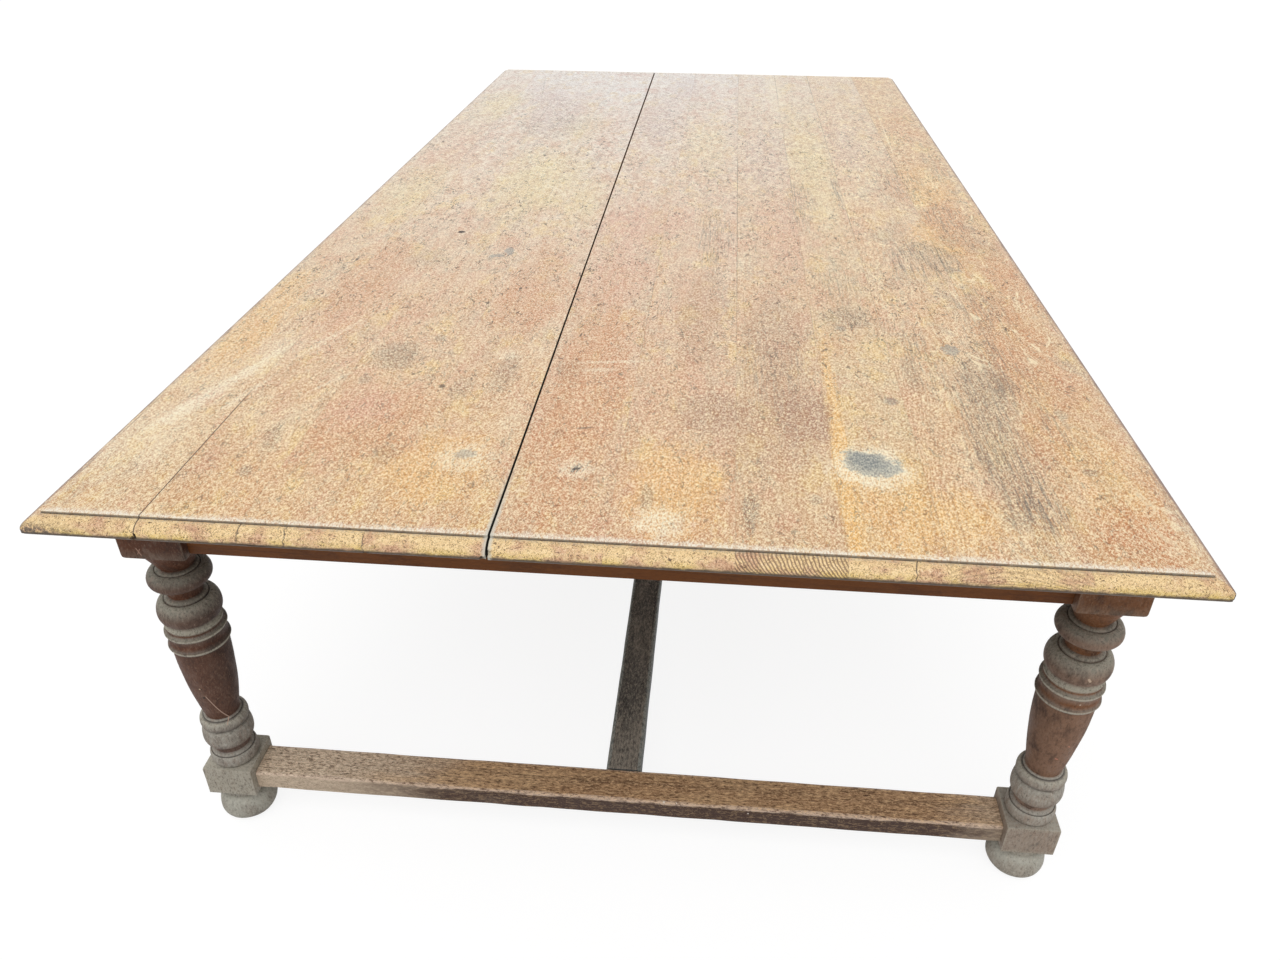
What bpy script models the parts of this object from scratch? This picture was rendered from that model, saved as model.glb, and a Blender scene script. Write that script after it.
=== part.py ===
"""Long plank-top dining table on four turned legs, with two end stretchers and one long centre stretcher.

Metres, +Z up. X runs across the table and Y along it. The origin is on the floor, under the middle of the top.
"""

import math

import bmesh
import bpy
from mathutils import Matrix, Vector

# Overall size
TABLE_LENGTH = 3.058
TABLE_WIDTH = 1.493
TABLE_HEIGHT = 0.780

# Gap kept between pieces that touch, and the overrun of a cutter past what it cuts
CLEARANCE = 0.0003
OVERRUN = 0.010

# Top boards: thickness, and the thumb moulding worked round the edge of the whole top
TOP_THICKNESS = 0.024
MOULDING_WIDTH = 0.0214
MOULDING_STEP = 0.0037
MOULDING_LEDGE = 0.0012
EDGE_UPRIGHT = 0.0050
EDGE_UNDERCUT = 0.0016
MOULDING_STEPS = 5

# Joints between the boards, near end and far end, as shares of the table's width from its left edge
BOARD_JOINT_SHARES = (
    (0.102, 0.102),
    (0.191, 0.191),
    (0.299, 0.299),
    (0.4042, 0.3948),
    (0.500, 0.500),
    (0.608, 0.608),
    (0.699, 0.699),
    (0.780, 0.780),
    (0.891, 0.891),
)
OPEN_JOINT = 3
OPEN_GAP = 0.0030

# Loose tongues in the board joints, stopped short of both ends
TONGUE_WIDTH = 0.024
TONGUE_THICKNESS = 0.006
TONGUE_SETBACK = 0.060

# Legs: upper block, lower block and the place under the top
LEG_SIZE = 0.099
LEG_SIDE_MARGIN = 0.0055
LEG_END_MARGIN = 0.1520
UPPER_BLOCK_HEIGHT = 0.153
LOWER_BLOCK_SIZE = 0.0865
LOWER_BLOCK_HEIGHT = 0.0606
UPPER_CORNER_CUT = 0.006
LOWER_CORNER_CUT = 0.004
TURNED_CORE = 0.022
TURNED_CORE_DEPTH = 0.008
TURNED_SIDES = 16

# Turned length of a leg, from under the upper block to the lower block. Each station has its height as a
# share of the turned length, its radius as a share of half the leg's size, and the bend down to the next.
STRAIGHT = "straight"
BULGE = "bulge"
HOLLOW = "hollow"
UPPER_TURNING_SHARES = (
    (1.000, 0.980, STRAIGHT),
    (0.921, 0.586, HOLLOW),
    (0.910, 0.535, STRAIGHT),
    (0.904, 0.657, STRAIGHT),
    (0.900, 0.683, STRAIGHT),
    (0.902, 0.717, BULGE),
    (0.868, 0.984, BULGE),
    (0.841, 0.758, HOLLOW),
    (0.808, 0.545, STRAIGHT),
    (0.793, 0.535, STRAIGHT),
    (0.784, 0.657, STRAIGHT),
    (0.777, 0.687, STRAIGHT),
    (0.779, 0.727, BULGE),
    (0.731, 1.000, BULGE),
    (0.696, 0.848, HOLLOW),
    (0.688, 0.838, HOLLOW),
    (0.676, 0.909, STRAIGHT),
    (0.662, 0.879, HOLLOW),
    (0.650, 0.974, STRAIGHT),
    (0.644, 0.982, STRAIGHT),
    (0.635, 0.929, STRAIGHT),
    (0.611, 0.909, HOLLOW),
    (0.593, 0.978, STRAIGHT),
    (0.587, 0.990, STRAIGHT),
    (0.578, 0.949, STRAIGHT),
)
LOWER_TURNING_SHARES = (
    (0.234, 0.630, STRAIGHT),
    (0.230, 0.646, STRAIGHT),
    (0.228, 0.727, BULGE),
    (0.206, 0.816, BULGE),
    (0.185, 0.717, STRAIGHT),
    (0.181, 0.737, BULGE),
    (0.135, 0.857, BULGE),
    (0.099, 0.697, HOLLOW),
    (0.080, 0.606, STRAIGHT),
    (0.067, 0.606, STRAIGHT),
    (0.059, 0.707, STRAIGHT),
    (0.054, 0.737, STRAIGHT),
    (0.055, 0.758, BULGE),
    (0.028, 0.822, BULGE),
    (0.000, 0.707, STRAIGHT),
)
BULGE_STEPS = 3
HOLLOW_STEPS = 2

# Vase between the two groups of rings: its ends, as the same shares, and how late it narrows
VASE_TOP_SHARES = (0.572, 0.899)
VASE_BOTTOM_SHARES = (0.238, 0.572)
VASE_POWER = 1.95
VASE_STEPS = 6

# Bun foot, with a spigot up into the lower block
FOOT_HEIGHT = 0.0742
FOOT_RADIUS = 0.0496
SPIGOT_RADIUS = 0.0125
SPIGOT_LENGTH = 0.024
FOOT_SHARES = (
    (1.000, 0.760, HOLLOW),
    (0.820, 0.680, STRAIGHT),
    (0.740, 0.700, BULGE),
    (0.320, 1.000, BULGE),
    (0.000, 0.530, STRAIGHT),
)

# Rails under the top, all four alike, tenoned into the upper blocks
RAIL_THICKNESS = 0.028
RAIL_HEIGHT = 0.148
RAIL_SETBACK = 0.0145
RAIL_TENON_THICKNESS = 0.010
RAIL_TENON_LENGTH = 0.045
RAIL_TENON_SHOULDER = 0.020

# Cross bearers between the side rails, as shares of the rails' clear length
BEARER_SHARES = (0.20, 0.40, 0.60, 0.80)
BEARER_THICKNESS = 0.030
BEARER_HEIGHT = 0.090
BEARER_TENON_THICKNESS = 0.012
BEARER_TENON_LENGTH = 0.014
BEARER_TENON_SHOULDER = 0.015

# Stretchers between the lower blocks
STRETCHER_THICKNESS = 0.0365
STRETCHER_DROP = 0.0170
END_STRETCHER_WIDTH = 0.067
END_STRETCHER_SETBACK = 0.0136
CENTRE_STRETCHER_WIDTH = 0.0624
STRETCHER_TENON_THICKNESS = 0.014
STRETCHER_TENON_SHOULDER = 0.010
END_STRETCHER_TENON_LENGTH = 0.026
CENTRE_STRETCHER_TENON_LENGTH = 0.035
STRETCHER_ARRIS = 0.004

# Wooden buttons that hold the top, and their screws
BUTTON_LENGTH = 0.045
BUTTON_WIDTH = 0.032
BUTTON_THICKNESS = 0.020
BUTTON_TONGUE_LENGTH = 0.009
BUTTON_TONGUE_THICKNESS = 0.008
BUTTON_PLAY = 0.003
END_BUTTON_BOARDS = (2, 6)
SIDE_BUTTON_SHARES = (0.10, 0.50, 0.90)
SCREW_RADIUS = 0.0022
SCREW_HEAD_RADIUS = 0.0045
SCREW_HEAD_HEIGHT = 0.0025
SCREW_GRIP = 0.012
SCREW_SIDES = 8

# Finishes: colour, roughness
WORN_TOP = ((0.56, 0.37, 0.21), 0.62)
TONGUE_WOOD = ((0.40, 0.27, 0.16), 0.70)
AGED_LEG = ((0.15, 0.10, 0.075), 0.66)
DUSTY_FOOT = ((0.17, 0.14, 0.115), 0.74)
RED_RAIL = ((0.16, 0.065, 0.030), 0.60)
BROWN_STRETCHER = ((0.22, 0.145, 0.095), 0.68)
GREY_STRETCHER = ((0.095, 0.075, 0.065), 0.72)
INNER_WOOD = ((0.24, 0.16, 0.09), 0.72)
SCREW_STEEL = ((0.23, 0.21, 0.19), 0.45)

# Places that follow from the sizes above
SIDE = TABLE_WIDTH / 2
END = TABLE_LENGTH / 2
UNDERSIDE = TABLE_HEIGHT - TOP_THICKNESS
FRAME_TOP = UNDERSIDE - CLEARANCE
LEG_X = SIDE - LEG_SIDE_MARGIN - LEG_SIZE / 2
LEG_Y = END - LEG_END_MARGIN - LEG_SIZE / 2
TURNED_TOP = UNDERSIDE - UPPER_BLOCK_HEIGHT
TURNED_BOTTOM = FOOT_HEIGHT + LOWER_BLOCK_HEIGHT
RAIL_BOTTOM = FRAME_TOP - RAIL_HEIGHT
RAIL_OUTER = LEG_SIZE / 2 - RAIL_SETBACK
RAIL_MIDDLE = RAIL_OUTER - RAIL_THICKNESS / 2
STRETCHER_TOP = TURNED_BOTTOM - STRETCHER_DROP
STRETCHER_MIDDLE_Z = STRETCHER_TOP - STRETCHER_THICKNESS / 2
END_STRETCHER_Y = LEG_Y + LOWER_BLOCK_SIZE / 2 - END_STRETCHER_SETBACK - END_STRETCHER_WIDTH / 2


def clear_scene():
    for obj in list(bpy.data.objects):
        bpy.data.objects.remove(obj)


def finish(obj, look):
    colour, roughness = look
    material = bpy.data.materials.new(obj.name + "_finish")
    material.use_nodes = True
    shader = material.node_tree.nodes["Principled BSDF"]
    shader.inputs["Base Color"].default_value = (*colour, 1)
    shader.inputs["Roughness"].default_value = roughness
    shader.inputs["Metallic"].default_value = 0
    obj.data.materials.clear()
    obj.data.materials.append(material)


def object_from(name, bm, location=(0, 0, 0)):
    """A new object from a bmesh, with its faces turned out."""
    bmesh.ops.recalc_face_normals(bm, faces=bm.faces)
    mesh = bpy.data.meshes.new(name)
    bm.to_mesh(mesh)
    bm.free()
    obj = bpy.data.objects.new(name, mesh)
    obj.location = location
    bpy.context.scene.collection.objects.link(obj)
    return obj


def hide(obj):
    """Makes the object a helper: it shapes others and is no piece itself."""
    obj.hide_render = True
    obj.display_type = "WIRE"
    return obj


def add_box(bm, low, high):
    """Adds a box between two corners, and returns its vertices."""
    low, high = Vector(low), Vector(high)
    matrix = Matrix.Translation((low + high) / 2) @ Matrix.Diagonal((*(high - low), 1))
    return bmesh.ops.create_cube(bm, size=1, matrix=matrix)["verts"]


def box(name, low, high, location=(0, 0, 0)):
    bm = bmesh.new()
    add_box(bm, low, high)
    return object_from(name, bm, location)


def grown(low, high, by):
    """The box between two corners, larger by the same amount on every side."""
    margin = Vector((by, by, by))
    return Vector(low) - margin, Vector(high) + margin


def prism(name, corners, bottom, top):
    """An upright prism over a plan outline."""
    bm = bmesh.new()
    face = bm.faces.new([bm.verts.new((x, y, bottom)) for x, y in corners])
    raised = bmesh.ops.extrude_face_region(bm, geom=[face])["geom"]
    verts = [item for item in raised if isinstance(item, bmesh.types.BMVert)]
    bmesh.ops.translate(bm, verts=verts, vec=(0, 0, top - bottom))
    return object_from(name, bm)


def boolean(obj, other, operation):
    modifier = obj.modifiers.new(other.name, "BOOLEAN")
    modifier.operation = operation
    modifier.solver = "EXACT"
    modifier.object = other


def shade_round(obj):
    obj.data.shade_smooth()
    obj.data.set_sharp_from_angle(angle=math.radians(40))


def turned(name, outline, sides, location=(0, 0, 0)):
    """A solid of revolution from (radius, height) points that start and end on the axis, top to bottom."""
    bm = bmesh.new()
    verts = [bm.verts.new((radius, 0, height)) for radius, height in outline]
    edges = [bm.edges.new(pair) for pair in zip(verts, verts[1:])]
    bmesh.ops.spin(
        bm, geom=verts + edges, cent=(0, 0, 0), axis=(0, 0, 1), angle=math.tau, steps=sides, use_merge=True
    )
    bmesh.ops.remove_doubles(bm, verts=bm.verts, dist=CLEARANCE / 3)
    obj = object_from(name, bm, location)
    shade_round(obj)
    return obj


def bend_points(start, end, bend):
    """Points after start up to end, along a straight line or a quarter of an ellipse, as (height, radius)."""
    if bend == STRAIGHT:
        return [end]
    (height_a, radius_a), (height_b, radius_b) = start, end
    steps = BULGE_STEPS if bend == BULGE else HOLLOW_STEPS
    # A bulge is upright at its wider end, and a hollow at its narrower end.
    upright_at_end = (radius_b > radius_a) == (bend == BULGE)
    points = []
    for step in range(1, steps + 1):
        angle = math.pi / 2 * step / steps
        if upright_at_end:
            down, out = 1 - math.cos(angle), math.sin(angle)
        else:
            down, out = math.sin(angle), 1 - math.cos(angle)
        points.append((height_a + (height_b - height_a) * down, radius_a + (radius_b - radius_a) * out))
    return points


def stations_to_points(stations):
    """All (height, radius) shares along the stations, with their bends filled in."""
    points = [stations[0][:2]]
    for station, following in zip(stations, stations[1:]):
        points += bend_points(station[:2], following[:2], station[2])
    return points


def vase_points():
    """The vase's (height, radius) shares: full above, and narrowing faster and faster towards its foot."""
    (top, wide), (bottom, narrow) = VASE_TOP_SHARES, VASE_BOTTOM_SHARES
    points = []
    for step in range(VASE_STEPS + 1):
        along = step / VASE_STEPS
        points.append((top + (bottom - top) * along, wide + (narrow - wide) * along**VASE_POWER))
    return points


def leg_outline():
    """(radius, height) points of the turned length, which runs a little way into both blocks."""
    shares = stations_to_points(UPPER_TURNING_SHARES)
    shares += vase_points()
    shares += stations_to_points(LOWER_TURNING_SHARES)
    length = TURNED_TOP - TURNED_BOTTOM
    points = [(radius * LEG_SIZE / 2, TURNED_BOTTOM + height * length) for height, radius in shares]
    top, bottom = TURNED_TOP + TURNED_CORE_DEPTH, TURNED_BOTTOM - TURNED_CORE_DEPTH
    above = [(0, top), (TURNED_CORE, top), (TURNED_CORE, TURNED_TOP)]
    below = [(TURNED_CORE, TURNED_BOTTOM), (TURNED_CORE, bottom), (0, bottom)]
    return above + points + below


def foot_outline():
    top = FOOT_HEIGHT - CLEARANCE
    shares = stations_to_points(FOOT_SHARES)
    points = [(radius * FOOT_RADIUS, height * top) for height, radius in shares]
    spigot_top = FOOT_HEIGHT + SPIGOT_LENGTH - CLEARANCE
    return [(0, spigot_top), (SPIGOT_RADIUS, spigot_top), (SPIGOT_RADIUS, top)] + points + [(0, 0)]


def leg_block(name, size, bottom, top, cut, cut_end, location):
    """A square block whose corners are cut back at the end where the turning starts."""
    bm = bmesh.new()
    verts = add_box(bm, (-size / 2, -size / 2, bottom), (size / 2, size / 2, top))
    corners = [vert for vert in verts if abs(vert.co.z - cut_end) < CLEARANCE]
    bmesh.ops.bevel(bm, geom=corners, offset=cut, segments=1, profile=0.5, affect="VERTICES", material=-1)
    return hide(object_from(name, bm, location))


def rail_tenon_levels():
    return RAIL_BOTTOM + RAIL_TENON_SHOULDER, FRAME_TOP - RAIL_TENON_SHOULDER


def make_leg(name, side_x, side_y, turning):
    """One leg. side_x and side_y are the signs of its quarter of the table."""
    location = (side_x * LEG_X, side_y * LEG_Y, 0)
    leg = bpy.data.objects.new(name, turning.copy())
    leg.location = location
    bpy.context.scene.collection.objects.link(leg)
    half, low_half = LEG_SIZE / 2, LOWER_BLOCK_SIZE / 2
    upper = leg_block(
        name + "_upper_block", LEG_SIZE, TURNED_TOP, FRAME_TOP, UPPER_CORNER_CUT, TURNED_TOP, location
    )
    lower = leg_block(
        name + "_lower_block",
        LOWER_BLOCK_SIZE,
        FOOT_HEIGHT,
        TURNED_BOTTOM,
        LOWER_CORNER_CUT,
        TURNED_BOTTOM,
        location,
    )
    boolean(leg, upper, "UNION")
    boolean(leg, lower, "UNION")

    # Mortises for the two rails: one runs along X, the other along Y, both near the outer faces.
    bottom, top = rail_tenon_levels()
    thin = RAIL_TENON_THICKNESS / 2 + CLEARANCE
    middle_x, middle_y = side_x * RAIL_MIDDLE, side_y * RAIL_MIDDLE
    mouth_x, mouth_y = -side_x * (half + OVERRUN), -side_y * (half + OVERRUN)
    floor_x, floor_y = -side_x * (half - RAIL_TENON_LENGTH), -side_y * (half - RAIL_TENON_LENGTH)
    cuts = [
        (
            (min(mouth_x, floor_x), middle_y - thin, bottom - CLEARANCE),
            (max(mouth_x, floor_x), middle_y + thin, top + CLEARANCE),
        ),
        (
            (middle_x - thin, min(mouth_y, floor_y), bottom - CLEARANCE),
            (middle_x + thin, max(mouth_y, floor_y), top + CLEARANCE),
        ),
    ]

    # Mortise for the end stretcher, in the lower block
    mouth = -side_x * (low_half + OVERRUN)
    floor = -side_x * (low_half - END_STRETCHER_TENON_LENGTH)
    middle = side_y * (END_STRETCHER_Y - LEG_Y)
    wide = END_STRETCHER_WIDTH / 2 - STRETCHER_TENON_SHOULDER + CLEARANCE
    high = STRETCHER_TENON_THICKNESS / 2 + CLEARANCE
    cuts.append(
        (
            (min(mouth, floor), middle - wide, STRETCHER_MIDDLE_Z - high),
            (max(mouth, floor), middle + wide, STRETCHER_MIDDLE_Z + high),
        )
    )
    bm = bmesh.new()
    for low, high_corner in cuts:
        add_box(bm, low, high_corner)
    boolean(leg, hide(object_from(name + "_mortises", bm, location)), "DIFFERENCE")

    # Socket for the foot's spigot
    radius, socket_top = SPIGOT_RADIUS + CLEARANCE, FOOT_HEIGHT + SPIGOT_LENGTH
    outline = [(0, socket_top), (radius, socket_top), (radius, FOOT_HEIGHT - OVERRUN), (0, FOOT_HEIGHT - OVERRUN)]
    socket = hide(turned(name + "_socket", outline, TURNED_SIDES, location))
    boolean(leg, socket, "DIFFERENCE")
    finish(leg, AGED_LEG)


def make_legs_and_feet():
    turning = turned("turning", leg_outline(), TURNED_SIDES)
    foot_shape = turned("foot_shape", foot_outline(), TURNED_SIDES)
    for end_name, side_y in (("near", -1), ("far", 1)):
        for side_name, side_x in (("left", -1), ("right", 1)):
            place = f"{end_name}_{side_name}"
            make_leg("leg_" + place, side_x, side_y, turning.data)
            foot = bpy.data.objects.new("foot_" + place, foot_shape.data.copy())
            foot.location = (side_x * LEG_X, side_y * LEG_Y, 0)
            bpy.context.scene.collection.objects.link(foot)
            finish(foot, DUSTY_FOOT)
    bpy.data.objects.remove(turning)
    bpy.data.objects.remove(foot_shape)


def joint_x(joint, end):
    """Where a board joint lies across the table, at the near end (0) or the far end (1)."""
    return BOARD_JOINT_SHARES[joint][end] * TABLE_WIDTH - SIDE


def joint_gap(joint):
    return OPEN_GAP if joint == OPEN_JOINT else CLEARANCE


def along_joint(joint, y):
    """The joint's place across the table at a place along it."""
    near, far = joint_x(joint, 0), joint_x(joint, 1)
    return near + (far - near) * (y + END) / TABLE_LENGTH


def strip(name, joint, half_width, reach, half_height):
    """A flat strip that follows a board joint, reach being how far it runs from the middle of the table."""
    near, far = along_joint(joint, -reach), along_joint(joint, reach)
    corners = [
        (near - half_width, -reach),
        (near + half_width, -reach),
        (far + half_width, reach),
        (far - half_width, reach),
    ]
    middle = UNDERSIDE + TOP_THICKNESS / 2
    return prism(name, corners, middle - half_height, middle + half_height)


def edge_profile():
    """(inset, height above the underside) points of the moulded edge, from the underside up to the top face."""
    round_top = TOP_THICKNESS - MOULDING_STEP
    round_foot = EDGE_UNDERCUT + EDGE_UPRIGHT
    round_width = MOULDING_WIDTH - MOULDING_LEDGE
    points = [(EDGE_UNDERCUT, 0), (0, EDGE_UNDERCUT)]
    for step in range(MOULDING_STEPS + 1):
        angle = math.pi / 2 * step / MOULDING_STEPS
        inset = round_width * (1 - math.cos(angle))
        points.append((inset, round_foot + (round_top - round_foot) * math.sin(angle)))
    points.append((MOULDING_WIDTH, round_top))
    points.append((MOULDING_WIDTH, TOP_THICKNESS))
    return points


def make_top_form():
    """The whole top's outer form, with its moulded edge, which every board is cut to."""
    bm = bmesh.new()
    rings = []
    for inset, height in edge_profile():
        x, y, z = SIDE - inset, END - inset, UNDERSIDE + height
        rings.append([bm.verts.new(corner) for corner in ((-x, -y, z), (x, -y, z), (x, y, z), (-x, y, z))])
    for lower, upper in zip(rings, rings[1:]):
        for here in range(len(lower)):
            after = (here + 1) % len(lower)
            bm.faces.new((lower[here], lower[after], upper[after], upper[here]))
    bm.faces.new(rings[0][::-1])
    bm.faces.new(rings[-1])
    return hide(object_from("top_form", bm))


def screw_outline():
    """(radius, height) points of a round-head screw driven upwards, its head under the button."""
    seat = FRAME_TOP - BUTTON_THICKNESS - CLEARANCE
    tip = UNDERSIDE + SCREW_GRIP - CLEARANCE
    return [
        (0, tip),
        (SCREW_RADIUS, tip - SCREW_RADIUS),
        (SCREW_RADIUS, seat),
        (SCREW_HEAD_RADIUS, seat),
        (SCREW_HEAD_RADIUS - SCREW_HEAD_HEIGHT / 2, seat - SCREW_HEAD_HEIGHT),
        (0, seat - SCREW_HEAD_HEIGHT),
    ]


def add_cylinder(bm, centre, radius, bottom, top):
    x, y = centre
    matrix = Matrix.Translation((x, y, (bottom + top) / 2))
    bmesh.ops.create_cone(
        bm,
        cap_ends=True,
        segments=SCREW_SIDES,
        radius1=radius,
        radius2=radius,
        depth=top - bottom,
        matrix=matrix,
    )


def rail_inner_x():
    return LEG_X + RAIL_OUTER - RAIL_THICKNESS


def rail_inner_y():
    return LEG_Y + RAIL_OUTER - RAIL_THICKNESS


def button_groups():
    """For each rail: the point on its inner face at each button, and the way in from that face."""
    middles = []
    for board in END_BUTTON_BOARDS:
        middles.append((along_joint(board - 1, -LEG_Y) + along_joint(board, -LEG_Y)) / 2)
    clear = 2 * (LEG_Y - LEG_SIZE / 2)
    places = [(share - 1 / 2) * clear for share in SIDE_BUTTON_SHARES]
    return {
        "near": ([(x, -rail_inner_y()) for x in middles], (0, 1)),
        "far": ([(x, rail_inner_y()) for x in middles], (0, -1)),
        "left": ([(-rail_inner_x(), y) for y in places], (1, 0)),
        "right": ([(rail_inner_x(), y) for y in places], (-1, 0)),
    }


def across(point, inward, along_in, half_along_rail):
    """Plan corners of a rectangle that starts along_in[0] and ends along_in[1] in from the rail's face."""
    (x, y), (in_x, in_y) = point, inward
    xs = [x + in_x * reach + in_y * side for reach in along_in for side in (-half_along_rail, half_along_rail)]
    ys = [y + in_y * reach + in_x * side for reach in along_in for side in (-half_along_rail, half_along_rail)]
    return (min(xs), min(ys)), (max(xs), max(ys))


def add_plan_box(bm, plan, bottom, top):
    (low_x, low_y), (high_x, high_y) = plan
    add_box(bm, (low_x, low_y, bottom), (high_x, high_y, top))


def screw_point(point, inward):
    """Where a button's screw stands: the middle of the button's body."""
    reach = CLEARANCE + BUTTON_LENGTH / 2
    return point[0] + inward[0] * reach, point[1] + inward[1] * reach


def make_button(name, point, inward):
    """An L-shaped block: its body lies against the boards and its tongue reaches into the rail's slot."""
    bottom = FRAME_TOP - BUTTON_THICKNESS
    (low_x, low_y), (high_x, high_y) = across(
        point, inward, (CLEARANCE, CLEARANCE + BUTTON_LENGTH), BUTTON_WIDTH / 2
    )
    button = box(name, (low_x, low_y, bottom), (high_x, high_y, FRAME_TOP))
    tongue_span = (-BUTTON_TONGUE_LENGTH, CLEARANCE + BUTTON_LENGTH / 3)
    (low_x, low_y), (high_x, high_y) = across(point, inward, tongue_span, BUTTON_WIDTH / 2)
    tongue = box(name + "_tongue", (low_x, low_y, bottom), (high_x, high_y, bottom + BUTTON_TONGUE_THICKNESS))
    boolean(button, hide(tongue), "UNION")
    hole = bmesh.new()
    place = screw_point(point, inward)
    add_cylinder(hole, place, SCREW_RADIUS + CLEARANCE, bottom - OVERRUN, FRAME_TOP + OVERRUN)
    boolean(button, hide(object_from(name + "_hole", hole)), "DIFFERENCE")
    finish(button, INNER_WOOD)


def make_buttons_and_screws():
    """The buttons of every rail, each with its screw. Returns every screw's place."""
    screw_places = []
    screw_shape = turned("screw_shape", screw_outline(), SCREW_SIDES)
    for rail, (points, inward) in button_groups().items():
        for number, point in enumerate(points, 1):
            make_button(f"button_{rail}_{number}", point, inward)
            place = screw_point(point, inward)
            screw = bpy.data.objects.new(f"screw_{rail}_{number}", screw_shape.data.copy())
            screw.location = (*place, 0)
            bpy.context.scene.collection.objects.link(screw)
            finish(screw, SCREW_STEEL)
            screw_places.append(place)
    bpy.data.objects.remove(screw_shape)
    return screw_places


def make_boards(screw_places):
    """The ten boards, with their tongue grooves, cut to the form of the whole top."""
    form = make_top_form()
    joints = len(BOARD_JOINT_SHARES)
    reach = END - TONGUE_SETBACK
    grooves = []
    for joint in range(joints):
        half_width, half_height = TONGUE_WIDTH / 2, TONGUE_THICKNESS / 2
        tongue = strip(f"loose_tongue_{joint + 1}", joint, half_width, reach, half_height)
        finish(tongue, TONGUE_WOOD)
        groove = strip(
            f"groove_{joint + 1}", joint, half_width + CLEARANCE, reach + CLEARANCE, half_height + CLEARANCE
        )
        grooves.append(hide(groove))
    for board in range(joints + 1):
        far_out = END + OVERRUN
        left = [-SIDE - OVERRUN] * 2
        right = [SIDE + OVERRUN] * 2
        if board > 0:
            half = joint_gap(board - 1) / 2
            left = [along_joint(board - 1, y) + half for y in (-far_out, far_out)]
        if board < joints:
            half = joint_gap(board) / 2
            right = [along_joint(board, y) - half for y in (-far_out, far_out)]
        corners = [(left[0], -far_out), (right[0], -far_out), (right[1], far_out), (left[1], far_out)]
        plank = prism(f"top_board_{board + 1}", corners, UNDERSIDE - OVERRUN, TABLE_HEIGHT + OVERRUN)
        boolean(plank, form, "INTERSECT")
        for groove in grooves[max(board - 1, 0) : board + 1]:
            boolean(plank, groove, "DIFFERENCE")
        inside = [place for place in screw_places if min(left) < place[0] < max(right)]
        if inside:
            bm = bmesh.new()
            for place in inside:
                radius = SCREW_RADIUS + CLEARANCE
                add_cylinder(bm, place, radius, UNDERSIDE - OVERRUN, UNDERSIDE + SCREW_GRIP)
            boolean(plank, hide(object_from(f"pilot_holes_{board + 1}", bm)), "DIFFERENCE")
        finish(plank, WORN_TOP)


def bearer_places():
    clear = 2 * (LEG_Y - LEG_SIZE / 2)
    return [(share - 1 / 2) * clear for share in BEARER_SHARES]


def bearer_tenon(y, side_x):
    """Corners of a bearer's tenon in one side rail."""
    top, bottom = FRAME_TOP - BEARER_TENON_SHOULDER, FRAME_TOP - BEARER_HEIGHT + BEARER_TENON_SHOULDER
    start = side_x * (rail_inner_x() - 2 * CLEARANCE)
    end = side_x * (rail_inner_x() + BEARER_TENON_LENGTH)
    half = BEARER_TENON_THICKNESS / 2
    return (min(start, end), y - half, bottom), (max(start, end), y + half, top)


def add_button_slots(bm, rail):
    """Slots in a rail's inner face for its buttons, long enough to let the top move."""
    points, inward = button_groups()[rail]
    half = BUTTON_WIDTH / 2 + BUTTON_PLAY
    bottom = FRAME_TOP - BUTTON_THICKNESS - CLEARANCE
    top = bottom + BUTTON_TONGUE_THICKNESS + 2 * CLEARANCE
    for point in points:
        plan = across(point, inward, (-BUTTON_TONGUE_LENGTH - CLEARANCE, OVERRUN), half)
        add_plan_box(bm, plan, bottom, top)


def make_end_rail(name, side_y, rail):
    """A rail across one end: a bar with a tenon at each end, and slots for the buttons."""
    shoulder = LEG_X - LEG_SIZE / 2 - CLEARANCE
    tip = shoulder + RAIL_TENON_LENGTH
    middle = side_y * (LEG_Y + RAIL_MIDDLE)
    half = RAIL_THICKNESS / 2
    bar = box(name, (-shoulder, middle - half, RAIL_BOTTOM), (shoulder, middle + half, FRAME_TOP))
    bottom, top = rail_tenon_levels()
    thin = RAIL_TENON_THICKNESS / 2
    tenon = box(name + "_tenon", (-tip, middle - thin, bottom), (tip, middle + thin, top))
    boolean(bar, hide(tenon), "UNION")
    slots = bmesh.new()
    add_button_slots(slots, rail)
    boolean(bar, hide(object_from(name + "_slots", slots)), "DIFFERENCE")
    finish(bar, RED_RAIL)


def make_side_rail(name, side_x, rail):
    """A long rail down one side, with mortises for the cross bearers."""
    shoulder = LEG_Y - LEG_SIZE / 2 - CLEARANCE
    tip = shoulder + RAIL_TENON_LENGTH
    middle = side_x * (LEG_X + RAIL_MIDDLE)
    half = RAIL_THICKNESS / 2
    bar = box(name, (middle - half, -shoulder, RAIL_BOTTOM), (middle + half, shoulder, FRAME_TOP))
    bottom, top = rail_tenon_levels()
    thin = RAIL_TENON_THICKNESS / 2
    tenon = box(name + "_tenon", (middle - thin, -tip, bottom), (middle + thin, tip, top))
    boolean(bar, hide(tenon), "UNION")
    cuts = bmesh.new()
    add_button_slots(cuts, rail)
    for y in bearer_places():
        add_box(cuts, *grown(*bearer_tenon(y, side_x), CLEARANCE))
    boolean(bar, hide(object_from(name + "_cuts", cuts)), "DIFFERENCE")
    finish(bar, RED_RAIL)


def make_bearer(number, y):
    reach = rail_inner_x() - CLEARANCE
    half = BEARER_THICKNESS / 2
    name = f"cross_bearer_{number}"
    bar = box(name, (-reach, y - half, FRAME_TOP - BEARER_HEIGHT), (reach, y + half, FRAME_TOP))
    low, high = bearer_tenon(y, -1)[0], bearer_tenon(y, 1)[1]
    boolean(bar, hide(box(name + "_tenon", low, high)), "UNION")
    finish(bar, INNER_WOOD)


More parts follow.
